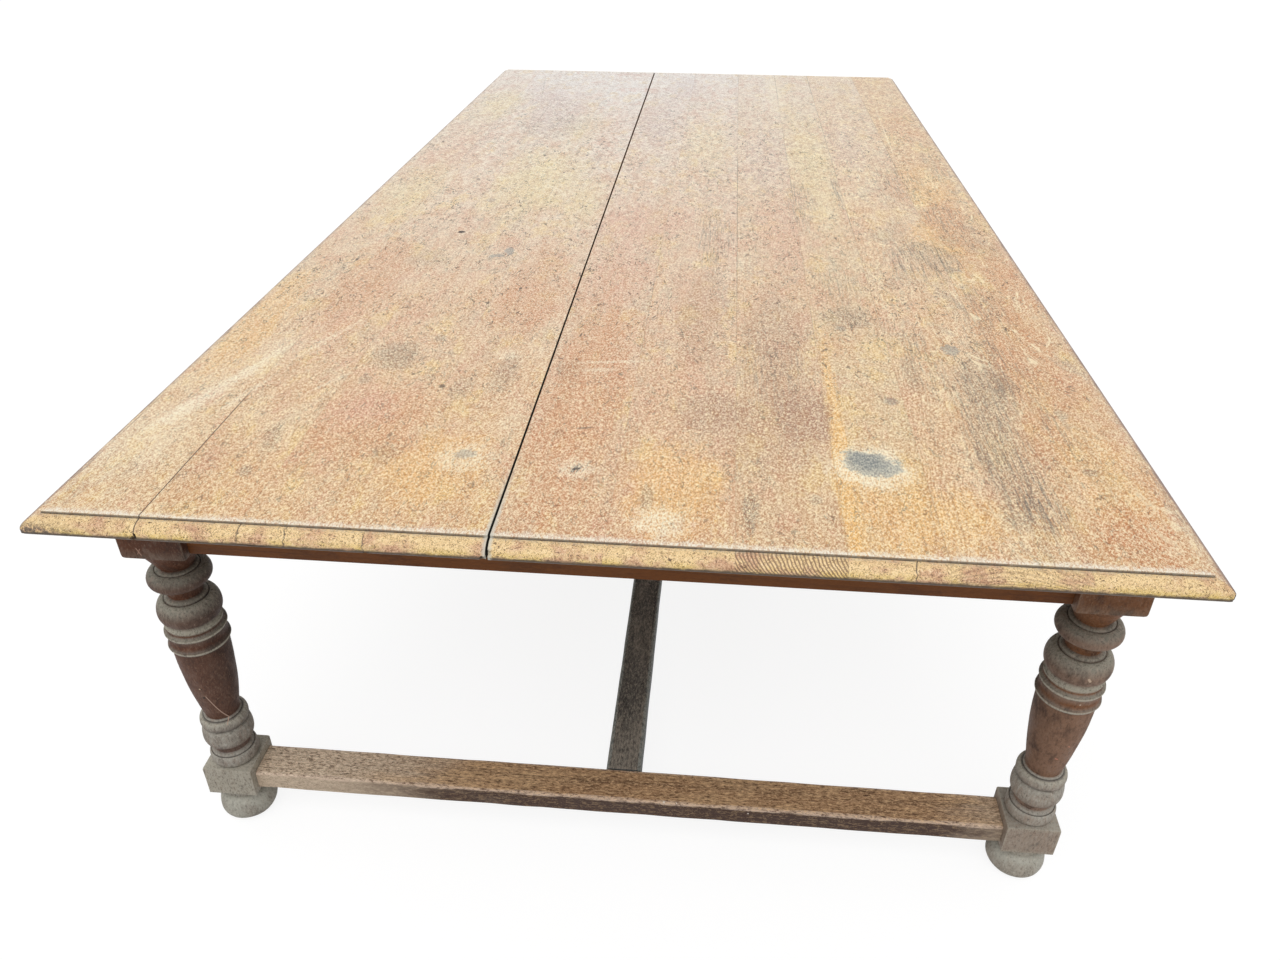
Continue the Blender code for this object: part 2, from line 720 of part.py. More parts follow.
def soft_bar(name, low, high, along):
    """A bar with its long edges rounded over. along is the axis it runs on."""
    bm = bmesh.new()
    add_box(bm, low, high)
    long_edges = []
    for edge in bm.edges:
        run = edge.verts[0].co - edge.verts[1].co
        if abs(run[along]) > CLEARANCE:
            long_edges.append(edge)
    bmesh.ops.bevel(
        bm, geom=long_edges, offset=STRETCHER_ARRIS, segments=2, profile=0.5, affect="EDGES", material=-1
    )
    return object_from(name, bm)


def centre_tenon_span():
    """Where the centre stretcher's tenons end, along the table."""
    return END_STRETCHER_Y - END_STRETCHER_WIDTH / 2 + CENTRE_STRETCHER_TENON_LENGTH


def make_end_stretcher(name, side_y):
    """A flat bar between two lower blocks, with a mortise in its inner edge for the centre stretcher."""
    shoulder = LEG_X - LOWER_BLOCK_SIZE / 2 - CLEARANCE
    tip = shoulder + END_STRETCHER_TENON_LENGTH
    middle = side_y * END_STRETCHER_Y
    half, thick = END_STRETCHER_WIDTH / 2, STRETCHER_THICKNESS / 2
    low_z, high_z = STRETCHER_MIDDLE_Z - thick, STRETCHER_MIDDLE_Z + thick
    bar = soft_bar(name, (-shoulder, middle - half, low_z), (shoulder, middle + half, high_z), 0)
    wide, thin = half - STRETCHER_TENON_SHOULDER, STRETCHER_TENON_THICKNESS / 2
    low_z, high_z = STRETCHER_MIDDLE_Z - thin, STRETCHER_MIDDLE_Z + thin
    tenon = box(name + "_tenon", (-tip, middle - wide, low_z), (tip, middle + wide, high_z))
    boolean(bar, hide(tenon), "UNION")
    wide = CENTRE_STRETCHER_WIDTH / 2 - STRETCHER_TENON_SHOULDER + CLEARANCE
    mouth = side_y * (END_STRETCHER_Y - half - OVERRUN)
    floor = side_y * centre_tenon_span()
    low = (-wide, min(mouth, floor), low_z - CLEARANCE)
    high = (wide, max(mouth, floor), high_z + CLEARANCE)
    boolean(bar, hide(box(name + "_mortise", low, high)), "DIFFERENCE")
    finish(bar, BROWN_STRETCHER)


def make_centre_stretcher():
    """The long bar down the middle, tenoned into both end stretchers."""
    shoulder = END_STRETCHER_Y - END_STRETCHER_WIDTH / 2 - CLEARANCE
    tip = centre_tenon_span() - CLEARANCE
    half, thick = CENTRE_STRETCHER_WIDTH / 2, STRETCHER_THICKNESS / 2
    low_z, high_z = STRETCHER_MIDDLE_Z - thick, STRETCHER_MIDDLE_Z + thick
    bar = soft_bar("centre_stretcher", (-half, -shoulder, low_z), (half, shoulder, high_z), 1)
    wide, thin = half - STRETCHER_TENON_SHOULDER, STRETCHER_TENON_THICKNESS / 2
    low_z, high_z = STRETCHER_MIDDLE_Z - thin, STRETCHER_MIDDLE_Z + thin
    tenon = box("centre_stretcher_tenon", (-wide, -tip, low_z), (wide, tip, high_z))
    boolean(bar, hide(tenon), "UNION")
    finish(bar, GREY_STRETCHER)


def main():
    clear_scene()
    make_legs_and_feet()
    for end_name, side_y in (("near", -1), ("far", 1)):
        make_end_rail("end_rail_" + end_name, side_y, end_name)
        make_end_stretcher("end_stretcher_" + end_name, side_y)
    for side_name, side_x in (("left", -1), ("right", 1)):
        make_side_rail("side_rail_" + side_name, side_x, side_name)
    for number, y in enumerate(bearer_places(), 1):
        make_bearer(number, y)
    make_centre_stretcher()
    make_boards(make_buttons_and_screws())


main()
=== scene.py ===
"""A long plank-top table on turned legs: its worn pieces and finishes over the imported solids."""

import logging
import math
from dataclasses import dataclass
from enum import Enum

import bmesh
import bpy
from mathutils import Euler, Matrix, Vector, noise


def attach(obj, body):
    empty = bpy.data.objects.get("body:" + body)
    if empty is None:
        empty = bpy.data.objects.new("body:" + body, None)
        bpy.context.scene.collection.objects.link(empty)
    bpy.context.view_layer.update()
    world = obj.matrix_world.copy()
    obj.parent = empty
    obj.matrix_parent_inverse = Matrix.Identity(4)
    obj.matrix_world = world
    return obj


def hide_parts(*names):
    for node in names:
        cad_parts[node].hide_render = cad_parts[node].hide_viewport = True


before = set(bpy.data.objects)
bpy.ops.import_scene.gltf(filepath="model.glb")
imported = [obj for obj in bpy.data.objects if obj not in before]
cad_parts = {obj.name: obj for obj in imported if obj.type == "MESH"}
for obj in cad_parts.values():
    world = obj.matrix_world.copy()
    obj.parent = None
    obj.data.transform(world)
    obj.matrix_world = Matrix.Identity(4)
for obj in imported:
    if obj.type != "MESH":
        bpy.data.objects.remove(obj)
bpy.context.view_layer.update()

LOG = logging.getLogger("table")
Socket = bpy.types.NodeSocket
Colour = tuple[float, float, float]
Point = tuple[float, float, float]
Places = tuple[Socket, Socket, Socket]
MM = 0.001
CLOSE = 1e-5
UNMOVED = (0, 0, 0)


def tint(red: float, green: float, blue: float) -> Colour:
    """Returns a paint chart colour, 0 to 255 in each part, as the shaders take it."""
    parts = [value / 255 for value in (red, green, blue)]
    return tuple(p / 12.92 if p <= 0.04045 else ((p + 0.055) / 1.055) ** 2.4 for p in parts)


class Bend(Enum):
    """How a turning runs from one station to the next."""

    STRAIGHT = "straight"
    BULGE = "bulge"
    HOLLOW = "hollow"


class Wear(Enum):
    """What the surface of a turning is like at a station, as shares of pale, dark, red and grey."""

    RED = (0.0, 0.0, 1.0, 0.0)
    BROWN = (0.0, 0.0, 0.25, 0.15)
    VASE = (0.0, 0.0, 0.55, 0.0)
    DUSTY = (0.35, 0.0, 0.0, 0.6)
    ARRIS = (1.0, 0.0, 0.0, 0.5)
    GROOVE = (0.0, 0.5, 0.0, 0.3)
    GREY = (0.1, 0.0, 0.0, 1.0)
    GREY_ARRIS = (0.6, 0.0, 0.0, 1.0)
    GREY_GROOVE = (0.0, 0.9, 0.0, 0.8)
    PALE_DUST = (0.6, 0.0, 0.0, 0.8)
    LIGHT_BLOCK = (0.6, 0.0, 0.4, 0.72)
    DARK_BLOCK = (0.18, 0.0, 0.45, 0.55)


class Stain(Enum):
    """The kinds of mark that a board carries."""

    BLUE = "blue"
    SLATE = "slate"
    PURPLE = "purple"
    GREY = "grey"
    RUST = "rust"
    PALE = "pale"
    KNOT = "knot"
    LINES = "lines"
    GOLD = "gold"
    LEMON = "lemon"
    LILAC = "lilac"
    PINK = "pink"


class NodeWork:
    """A node tree in work."""

    def __init__(self, tree: bpy.types.NodeTree) -> None:
        """Takes up a node tree."""
        self.tree = tree

    def add(self, kind: str, **settings: object) -> bpy.types.Node:
        """Adds a node.

        Args:
            kind: the node's type.
            settings: its own settings by name.

        Returns:
            The new node.
        """
        node = self.tree.nodes.new(kind)
        for name, value in settings.items():
            setattr(node, name, value)
        return node

    def feed(self, socket: Socket, value: object) -> None:
        """Links a socket to another one, or sets its plain value.

        Args:
            socket: the input to fill.
            value: an output socket, a number or a colour of three parts.
        """
        if isinstance(value, bpy.types.NodeSocket):
            self.tree.links.new(value, socket)
        elif isinstance(value, (tuple, list)) and socket.type == "RGBA":
            socket.default_value = (*value[:3], 1.0)
        else:
            socket.default_value = value

    def calc(self, operation: str, first: object, second: object = 0.0, third: object = 0.0) -> Socket:
        """Adds a Math node.

        Args:
            operation: the node's operation.
            first: its first value.
            second: its second value.
            third: its third value.

        Returns:
            The result.
        """
        node = self.add("ShaderNodeMath", operation=operation)
        for socket, value in zip(node.inputs, (first, second, third)):
            self.feed(socket, value)
        return node.outputs[0]

    def scaled(self, value: object, factor: object, extra: object) -> Socket:
        """Returns the value times the factor, plus the extra."""
        return self.calc("MULTIPLY_ADD", value, factor, extra)

    def less(self, value: object, other: object) -> Socket:
        """Returns the value less the other one."""
        return self.calc("SUBTRACT", value, other)

    def gap(self, value: object, other: object) -> Socket:
        """Returns how far the value is from the other one, either way."""
        return self.calc("ABSOLUTE", self.less(value, other))

    def product(self, *values: object) -> Socket:
        """Returns all the values multiplied together.

        Args:
            values: output sockets or numbers.

        Returns:
            The product.
        """
        result = values[0]
        for value in values[1:]:
            result = self.calc("MULTIPLY", result, value)
        return result

    def seen(self) -> Socket:
        """Tells whether the camera sees a place, straight, in a mirror or through glass.

        Returns:
            1 if it does, and else 0.
        """
        path = self.add("ShaderNodeLightPath").outputs
        mirrored = self.calc("MAXIMUM", path["Is Camera Ray"], path["Is Glossy Ray"])
        return self.calc("MAXIMUM", mirrored, path["Is Transmission Ray"])


class Shader(NodeWork):
    """One material's nodes, laid down step by step in the order in which a finisher would work."""

    def __init__(self, name: str) -> None:
        """Starts a material.

        Args:
            name: the material's name.
        """
        self.material = bpy.data.materials.new(name)
        self.material.use_nodes = True
        super().__init__(self.material.node_tree)
        self.tree.nodes.clear()
        self.surface = self.add("ShaderNodeBsdfPrincipled")
        out = self.add("ShaderNodeOutputMaterial")
        self.tree.links.new(self.surface.outputs[0], out.inputs[0])
        self.place = self.add("ShaderNodeTexCoord").outputs["Object"]

    def mix(self, under: object, over: object, share: object) -> Socket:
        """Lays one colour over another.

        Args:
            under: the colour below.
            over: the colour above.
            share: how much of the upper one shows, from 0 to 1.

        Returns:
            The mixed colour.
        """
        node = self.add("ShaderNodeMix", data_type="RGBA")
        self.feed(node.inputs[0], share)
        self.feed(node.inputs[6], under)
        self.feed(node.inputs[7], over)
        return node.outputs[2]

    def ramp(self, value: object, low: float, high: float, start: float = 0.0, end: float = 1.0) -> Socket:
        """Turns a range of values smoothly into another one.

        Args:
            value: the value to read.
            low: the value that gives start.
            high: the value that gives end.
            start: the result at low and below.
            end: the result at high and above.

        Returns:
            The result.
        """
        node = self.add("ShaderNodeMapRange", interpolation_type="SMOOTHSTEP")
        for socket, part in zip(node.inputs, (value, low, high, start, end)):
            self.feed(socket, part)
        return node.outputs[0]

    def over(
        self, under: object, over: object, value: object, low: float, high: float, share: float = 1.0
    ) -> Socket:
        """Lays one colour over another where a value runs from low to high.

        Args:
            under: the colour below.
            over: the colour above.
            value: the value to read.
            low: the value that shows none of the upper colour.
            high: the value that shows its whole share.
            share: how much of the upper one then shows.

        Returns:
            The mixed colour.
        """
        return self.mix(under, over, self.ramp(value, low, high, 0.0, share))

    def stretched(self, scale: Point, shift: Point = UNMOVED, turn: float = 0.0) -> Socket:
        """Returns the place on the piece, turned about the vertical, stretched and then shifted.

        Args:
            scale: how many times the pattern repeats in a metre, along each axis.
            shift: how far the pattern is moved.
            turn: its turn about the vertical, in degrees.

        Returns:
            The place to read a pattern at.
        """
        node = self.add("ShaderNodeMapping", vector_type="POINT")
        self.feed(node.inputs[0], self.place)
        if turn:
            node.inputs[2].default_value = (0, 0, math.radians(turn))
            spun = node.outputs[0]
            node = self.add("ShaderNodeMapping", vector_type="POINT")
            self.feed(node.inputs[0], spun)
        node.inputs[1].default_value = shift
        node.inputs[3].default_value = scale
        return node.outputs[0]

    def noise(
        self, scale: Point, shift: Point = UNMOVED, detail: float = 2.0, rough: float = 0.5,
        warp: float = 0.0, turn: float = 0.0,
    ) -> Socket:
        """Adds soft noise.

        Args:
            scale: how many times it repeats in a metre, along each axis.
            shift: how far it is moved.
            detail: how many finer layers it has.
            rough: how strong these are.
            warp: how much it is pulled about.
            turn: its turn about the vertical, in degrees.

        Returns:
            A value round 0.5.
        """
        at = self.stretched(scale, shift, turn)
        node = self.add("ShaderNodeTexNoise")
        values = {"Vector": at, "Scale": 1.0, "Detail": detail, "Roughness": rough, "Distortion": warp}
        for name, value in values.items():
            self.feed(node.inputs[name], value)
        return node.outputs[0]

    def cells(self, scale: Point) -> Socket:
        """Adds cells.

        Args:
            scale: how many of them there are in a metre, along each axis.

        Returns:
            The distance to the middle of the nearest cell.
        """
        node = self.add("ShaderNodeTexVoronoi")
        self.feed(node.inputs["Vector"], self.stretched(scale))
        self.feed(node.inputs["Scale"], 1.0)
        return node.outputs["Distance"]

    def split(self, vector: Socket) -> Places:
        """Takes a vector apart.

        Args:
            vector: the vector.

        Returns:
            Its three parts.
        """
        node = self.add("ShaderNodeSeparateXYZ")
        self.feed(node.inputs[0], vector)
        return tuple(node.outputs)

    def attribute(self, name: str) -> Socket:
        """Returns the piece's own attribute of that name."""
        return self.add("ShaderNodeAttribute", attribute_name=name).outputs["Fac"]

    def facing_up(self) -> Socket:
        """Returns how far the surface faces up, from -1 to 1."""
        return self.split(self.add("ShaderNodeNewGeometry").outputs["Normal"])[2]

    def dress(
        self, colour: Socket, roughness: object, relief: Socket, depth: float, shine: object = 0.5
    ) -> bpy.types.Material:
        """Finishes the surface.

        Args:
            colour: its colour.
            roughness: its roughness.
            relief: the height of its fine relief, from 0 to 1.
            depth: how deep that relief is, in metres.
            shine: how much it mirrors, 0.5 for a waxed surface.

        Returns:
            The material.
        """
        bump = self.add("ShaderNodeBump")
        bump.inputs["Distance"].default_value = depth
        self.feed(bump.inputs["Height"], relief)
        self.tree.links.new(bump.outputs[0], self.surface.inputs["Normal"])
        self.feed(self.surface.inputs["Base Color"], colour)
        self.feed(self.surface.inputs["Roughness"], roughness)
        self.feed(self.surface.inputs["Specular IOR Level"], shine)
        return self.material


@dataclass(frozen=True)
class Mark:
    """One mark in the top: its kind, place, half sizes, strength and turn in degrees."""

    kind: Stain
    x: float
    y: float
    wide: float
    long: float
    strength: float
    turn: float = 0.0


@dataclass(frozen=True)
class Joint:
    """One joint of the top: where it is at the near and the far end, and how dirty it is."""

    near: float
    far: float
    dirt: float = 0.15
    near_dirt: float = 0.03
    stands_open: bool = False


@dataclass(frozen=True)
class BoardLook:
    """How one board looks: its colour at the near end, its bleaching with painted sheen towards the far end,
    grain, patches and cracks.
    """

    tone: Colour
    sheen_and_bleach: float
    seed: float
    streaks: float = 0.5
    flame: bool = False
    rays: bool = False
    veins: bool = False
    mottle: float = 0.15
    cracks: tuple[float, ...] = ()


SAND = tint(226, 192, 150)
HONEY = tint(220, 174, 126)
ROSE = tint(214, 166, 130)
UMBER = tint(212, 174, 136)
STRAW = tint(218, 188, 142)
AMBER = tint(224, 180, 136)
RUSSET = tint(213, 170, 129)

BOARD_LOOKS = (
    BoardLook(SAND, 0.88, 1.3, mottle=0.55),
    BoardLook(HONEY, 1.08, 4.1, mottle=0.55),
    BoardLook(HONEY, 1.12, 7.7, 0.4, mottle=0.55, cracks=(-0.4606, -0.4000)),
    BoardLook(HONEY, 1.22, 9.2, 0.5, mottle=0.5, cracks=(-0.2994,)),
    BoardLook(ROSE, 1.04, 12.6, 0.5, mottle=0.55),
    BoardLook(ROSE, 0.92, 15.8, 0.6, mottle=0.55),
    BoardLook(UMBER, 0.70, 18.1, 0.5, rays=True, mottle=0.5),
    BoardLook(STRAW, 0.58, 21.9, 0.6, mottle=0.5, cracks=(0.3780,)),
    BoardLook(AMBER, 0.46, 24.5, 0.9, flame=True, mottle=0.75, veins=True),
    BoardLook(RUSSET, 0.14, 27.3, 0.6, mottle=0.95, veins=True),
)

PAINTS = {
    Stain.BLUE: tint(128, 138, 140),
    Stain.SLATE: tint(92, 104, 112),
    Stain.PURPLE: tint(148, 100, 92),
    Stain.GREY: tint(112, 104, 98),
    Stain.RUST: tint(204, 124, 72),
    Stain.PALE: tint(250, 240, 212),
    Stain.KNOT: tint(62, 52, 46),
    Stain.LINES: tint(98, 92, 88),
    Stain.GOLD: tint(248, 190, 92),
    Stain.LEMON: tint(240, 224, 150),
    Stain.LILAC: tint(200, 176, 184),
    Stain.PINK: tint(216, 152, 134),
}

UNDER_ROWS = (
    (Stain.GOLD, (
        (309, -1300, 13, 320, 0.7), (370, -1400, 60, 120, 0.5), (80, -1380, 60, 110, 0.5),
        (-250, -1360, 70, 90, 0.45), (450, -1420, 50, 70, 0.5), (600, -330, 50, 120, 0.6),
    )),
    (Stain.RUST, (
        (640, -900, 60, 220, 0.5), (-370, -1250, 90, 110, 0.5), (-560, -700, 60, 240, 0.45),
        (-230, -700, 60, 240, 0.45),
    )),
    (Stain.PURPLE, ((230, -900, 50, 220, 0.4), (100, -800, 50, 200, 0.3))),
    (Stain.LEMON, ((-350, 50, 110, 260, 0.6),)),
    (Stain.LILAC, ((-500, 1050, 70, 150, 0.5),)),
    (Stain.LEMON, ((-620, 900, 60, 200, 0.5), (-300, 620, 70, 160, 0.4))),
    (Stain.PINK, ((-640, 300, 60, 220, 0.45), (-230, 640, 50, 160, 0.4))),
    (Stain.GREY, ((-400, 620, 90, 160, 0.3),)),
    (Stain.LEMON, ((80, 450, 60, 220, 0.4), (360, 300, 50, 400, 0.45))),
    (Stain.GOLD, ((640, 80, 60, 180, 0.45), (-690, -900, 40, 240, 0.4))),
    (Stain.PINK, ((-80, -620, 60, 160, 0.5),)),
    (Stain.LEMON, ((-640, -100, 60, 200, 0.4), (-200, -150, 40, 160, 0.4))),
    (Stain.LILAC, ((-90, 700, 60, 300, 0.55), (-20, 1200, 60, 200, 0.4), (-420, 800, 80, 260, 0.5))),
    (Stain.PINK, (
        (-80, -300, 60, 140, 0.6), (10, -260, 50, 120, 0.45), (260, -300, 60, 260, 0.5),
        (-560, -900, 50, 120, 0.35),
    )),
    (Stain.LILAC, ((230, 300, 60, 260, 0.4), (470, 450, 50, 220, 0.5))),
    (Stain.GREY, (
        (-480, -560, 40, 50, 0.3), (45, -1405, 9, 30, 0.5), (-330, -1330, 20, 30, 0.3),
        (-270, -1120, 18, 35, 0.35),
    )),
    (Stain.PURPLE, ((120, -1170, 50, 60, 0.5), (265, -1160, 40, 80, 0.65), (205, -1190, 90, 110, 0.35))),
    (Stain.GOLD, ((660, -1300, 50, 140, 0.3),)),
    (Stain.GREY, (
        (536, -1230, 40, 230, 0.5), (560, -1030, 36, 90, 0.5), (445, -1010, 16, 60, 0.5),
        (645, -1290, 12, 10, 0.6), (266, -1392, 8, 12, 0.5), (-402, -1013, 30, 50, 0.45, 20),
        (-212, -1062, 20, 70, 0.45), (-352, -944, 10, 14, 0.6), (-504, -1303, 12, 40, 0.45, 10),
        (-431, -1112, 10, 16, 0.5), (-105, -1052, 20, 50, 0.5),
    )),
    (Stain.PINK, ((-410, -1197, 50, 60, 0.6),)),
    (Stain.GREY, (
        (-533, 1201, 1.6, 222, 0.7, 7.3), (-100, 617, 45, 2.2, 0.8), (-510, 1311, 80, 2.5, 0.7),
        (-40, 760, 1.4, 60, 0.7), (520, -1420, 14, 20, 0.5), (560, -440, 60, 70, 0.45),
        (480, -330, 30, 40, 0.5), (640, -330, 40, 50, 0.5), (690, -390, 30, 60, 0.4),
        (360, -790, 40, 45, 0.6), (180, -1430, 10, 45, 0.7), (-432, -153, 10, 16, 0.9),
        (-425, -300, 9, 10, 0.6), (-377, 301, 12, 18, 0.4), (-97, -1253, 10, 14, 0.7),
        (-110, -1039, 20, 30, 0.6), (-410, -1019, 40, 50, 0.4, 20), (-505, -1392, 10, 14, 0.6, 20),
        (650, -1124, 10, 14, 0.6),
    )),
    (Stain.RUST, (
        (560, 60, 30, 140, 0.6), (640, -210, 50, 140, 0.65), (700, -550, 40, 160, 0.45),
        (620, 330, 50, 120, 0.4), (662, -1436, 45, 60, 0.6), (600, -1210, 35, 80, 0.35),
        (660, 720, 50, 200, 0.5), (-75, -1100, 60, 330, 0.55),
    )),
)
UPPER_ROWS = (
    (Stain.PALE, ((347, -1305, 50, 52, 0.8, -30), (347, -1301, 46, 43, 0.9, -30))),
    (Stain.BLUE, ((349, -1294, 40, 31, 0.75, -34),)),
    (Stain.SLATE, ((343, -1290, 28, 19, 0.6, -34),)),
    (Stain.PALE, (
        (65, -1460, 36, 30, 0.8), (-690, -1330, 50, 100, 0.35), (-650, -1180, 12, 110, 0.7, -16),
        (-680, -1240, 8, 80, 0.7, -14), (-620, -1060, 7, 90, 0.7, -18), (-600, -1180, 6, 60, 0.6, -16),
        (-540, -960, 6, 80, 0.6, -20), (-480, -1120, 4, 50, 0.5, -30),
    )),
    (Stain.LINES, (
        (538, -1200, 46, 250, 0.62), (600, -1000, 40, 150, 0.55), (470, -960, 30, 130, 0.55),
        (560, -1380, 30, 60, 0.6),
    )),
    (Stain.BLUE, ((524, -908, 14, 20, 0.6),)),
    (Stain.SLATE, ((400, -1105, 10, 12, 0.5), (346, -836, 9, 12, 0.4))),
    (Stain.LINES, ((634, -1180, 16, 80, 0.6),)),
    (Stain.KNOT, ((-302, -1121, 5, 6, 0.7),)),
    (Stain.PALE, ((-216, -1330, 40, 34, 0.6),)),
    (Stain.BLUE, ((-216, -1321, 15, 12, 0.5),)),
    (Stain.KNOT, ((-61, -1232, 14, 3, 0.5, 15),)),
    (Stain.PALE, (
        (-640, -1096, 40, 160, 0.25, -12), (-590, -1000, 40, 100, 0.25, -12), (-60, -1040, 30, 8, 0.6, 10),
        (605, 666, 1.6, 315, 0.9, -1.8),
    )),
    (Stain.LINES, (
        (540, -470, 80, 110, 0.75), (640, -200, 50, 120, 0.65), (580, 100, 50, 150, 0.55),
        (690, 250, 30, 150, 0.5), (610, -740, 50, 150, 0.5), (360, -620, 40, 120, 0.45),
        (220, -1020, 60, 120, 0.4), (405, 0, 10, 120, 0.8), (310, -120, 30, 160, 0.7),
        (110, -360, 40, 170, 0.55),
    )),
    (Stain.KNOT, ((-448, -389, 7, 8, 1, -30),)),
    (Stain.BLUE, ((-318, -500, 9, 22, 0.7, 10), (-340, -530, 16, 10, 0.6, 25))),
    (Stain.PALE, ((-57, -1345, 26, 22, 0.7),)),
    (Stain.LINES, ((-57, -1345, 14, 10, 1, 20),)),
    (Stain.KNOT, ((-57, -1345, 6, 3, 0.8, 20),)),
    (Stain.PALE, ((-222, -999, 20, 20, 0.6), (290, 1180, 30, 360, 0.5), (-45, -1009, 55, 5, 0.7, 8))),
)


def laid(rows: tuple, gain: float = 1.0) -> tuple[Mark, ...]:
    """Reads a table of marks.

    Args:
        rows: kinds, each with its marks' place and half sizes in millimetres, strength and turn.
        gain: how much stronger the marks are laid.

    Returns:
        The marks.
    """
    return tuple(
        Mark(kind, x * MM, y * MM, wide * MM, long * MM, min(strength * gain, 1.0), *turn)
        for kind, own in rows for x, y, wide, long, strength, *turn in own
    )


UNDER_TEXTURE = laid(UNDER_ROWS, 1.35)
OVER_TEXTURE = laid(UPPER_ROWS)


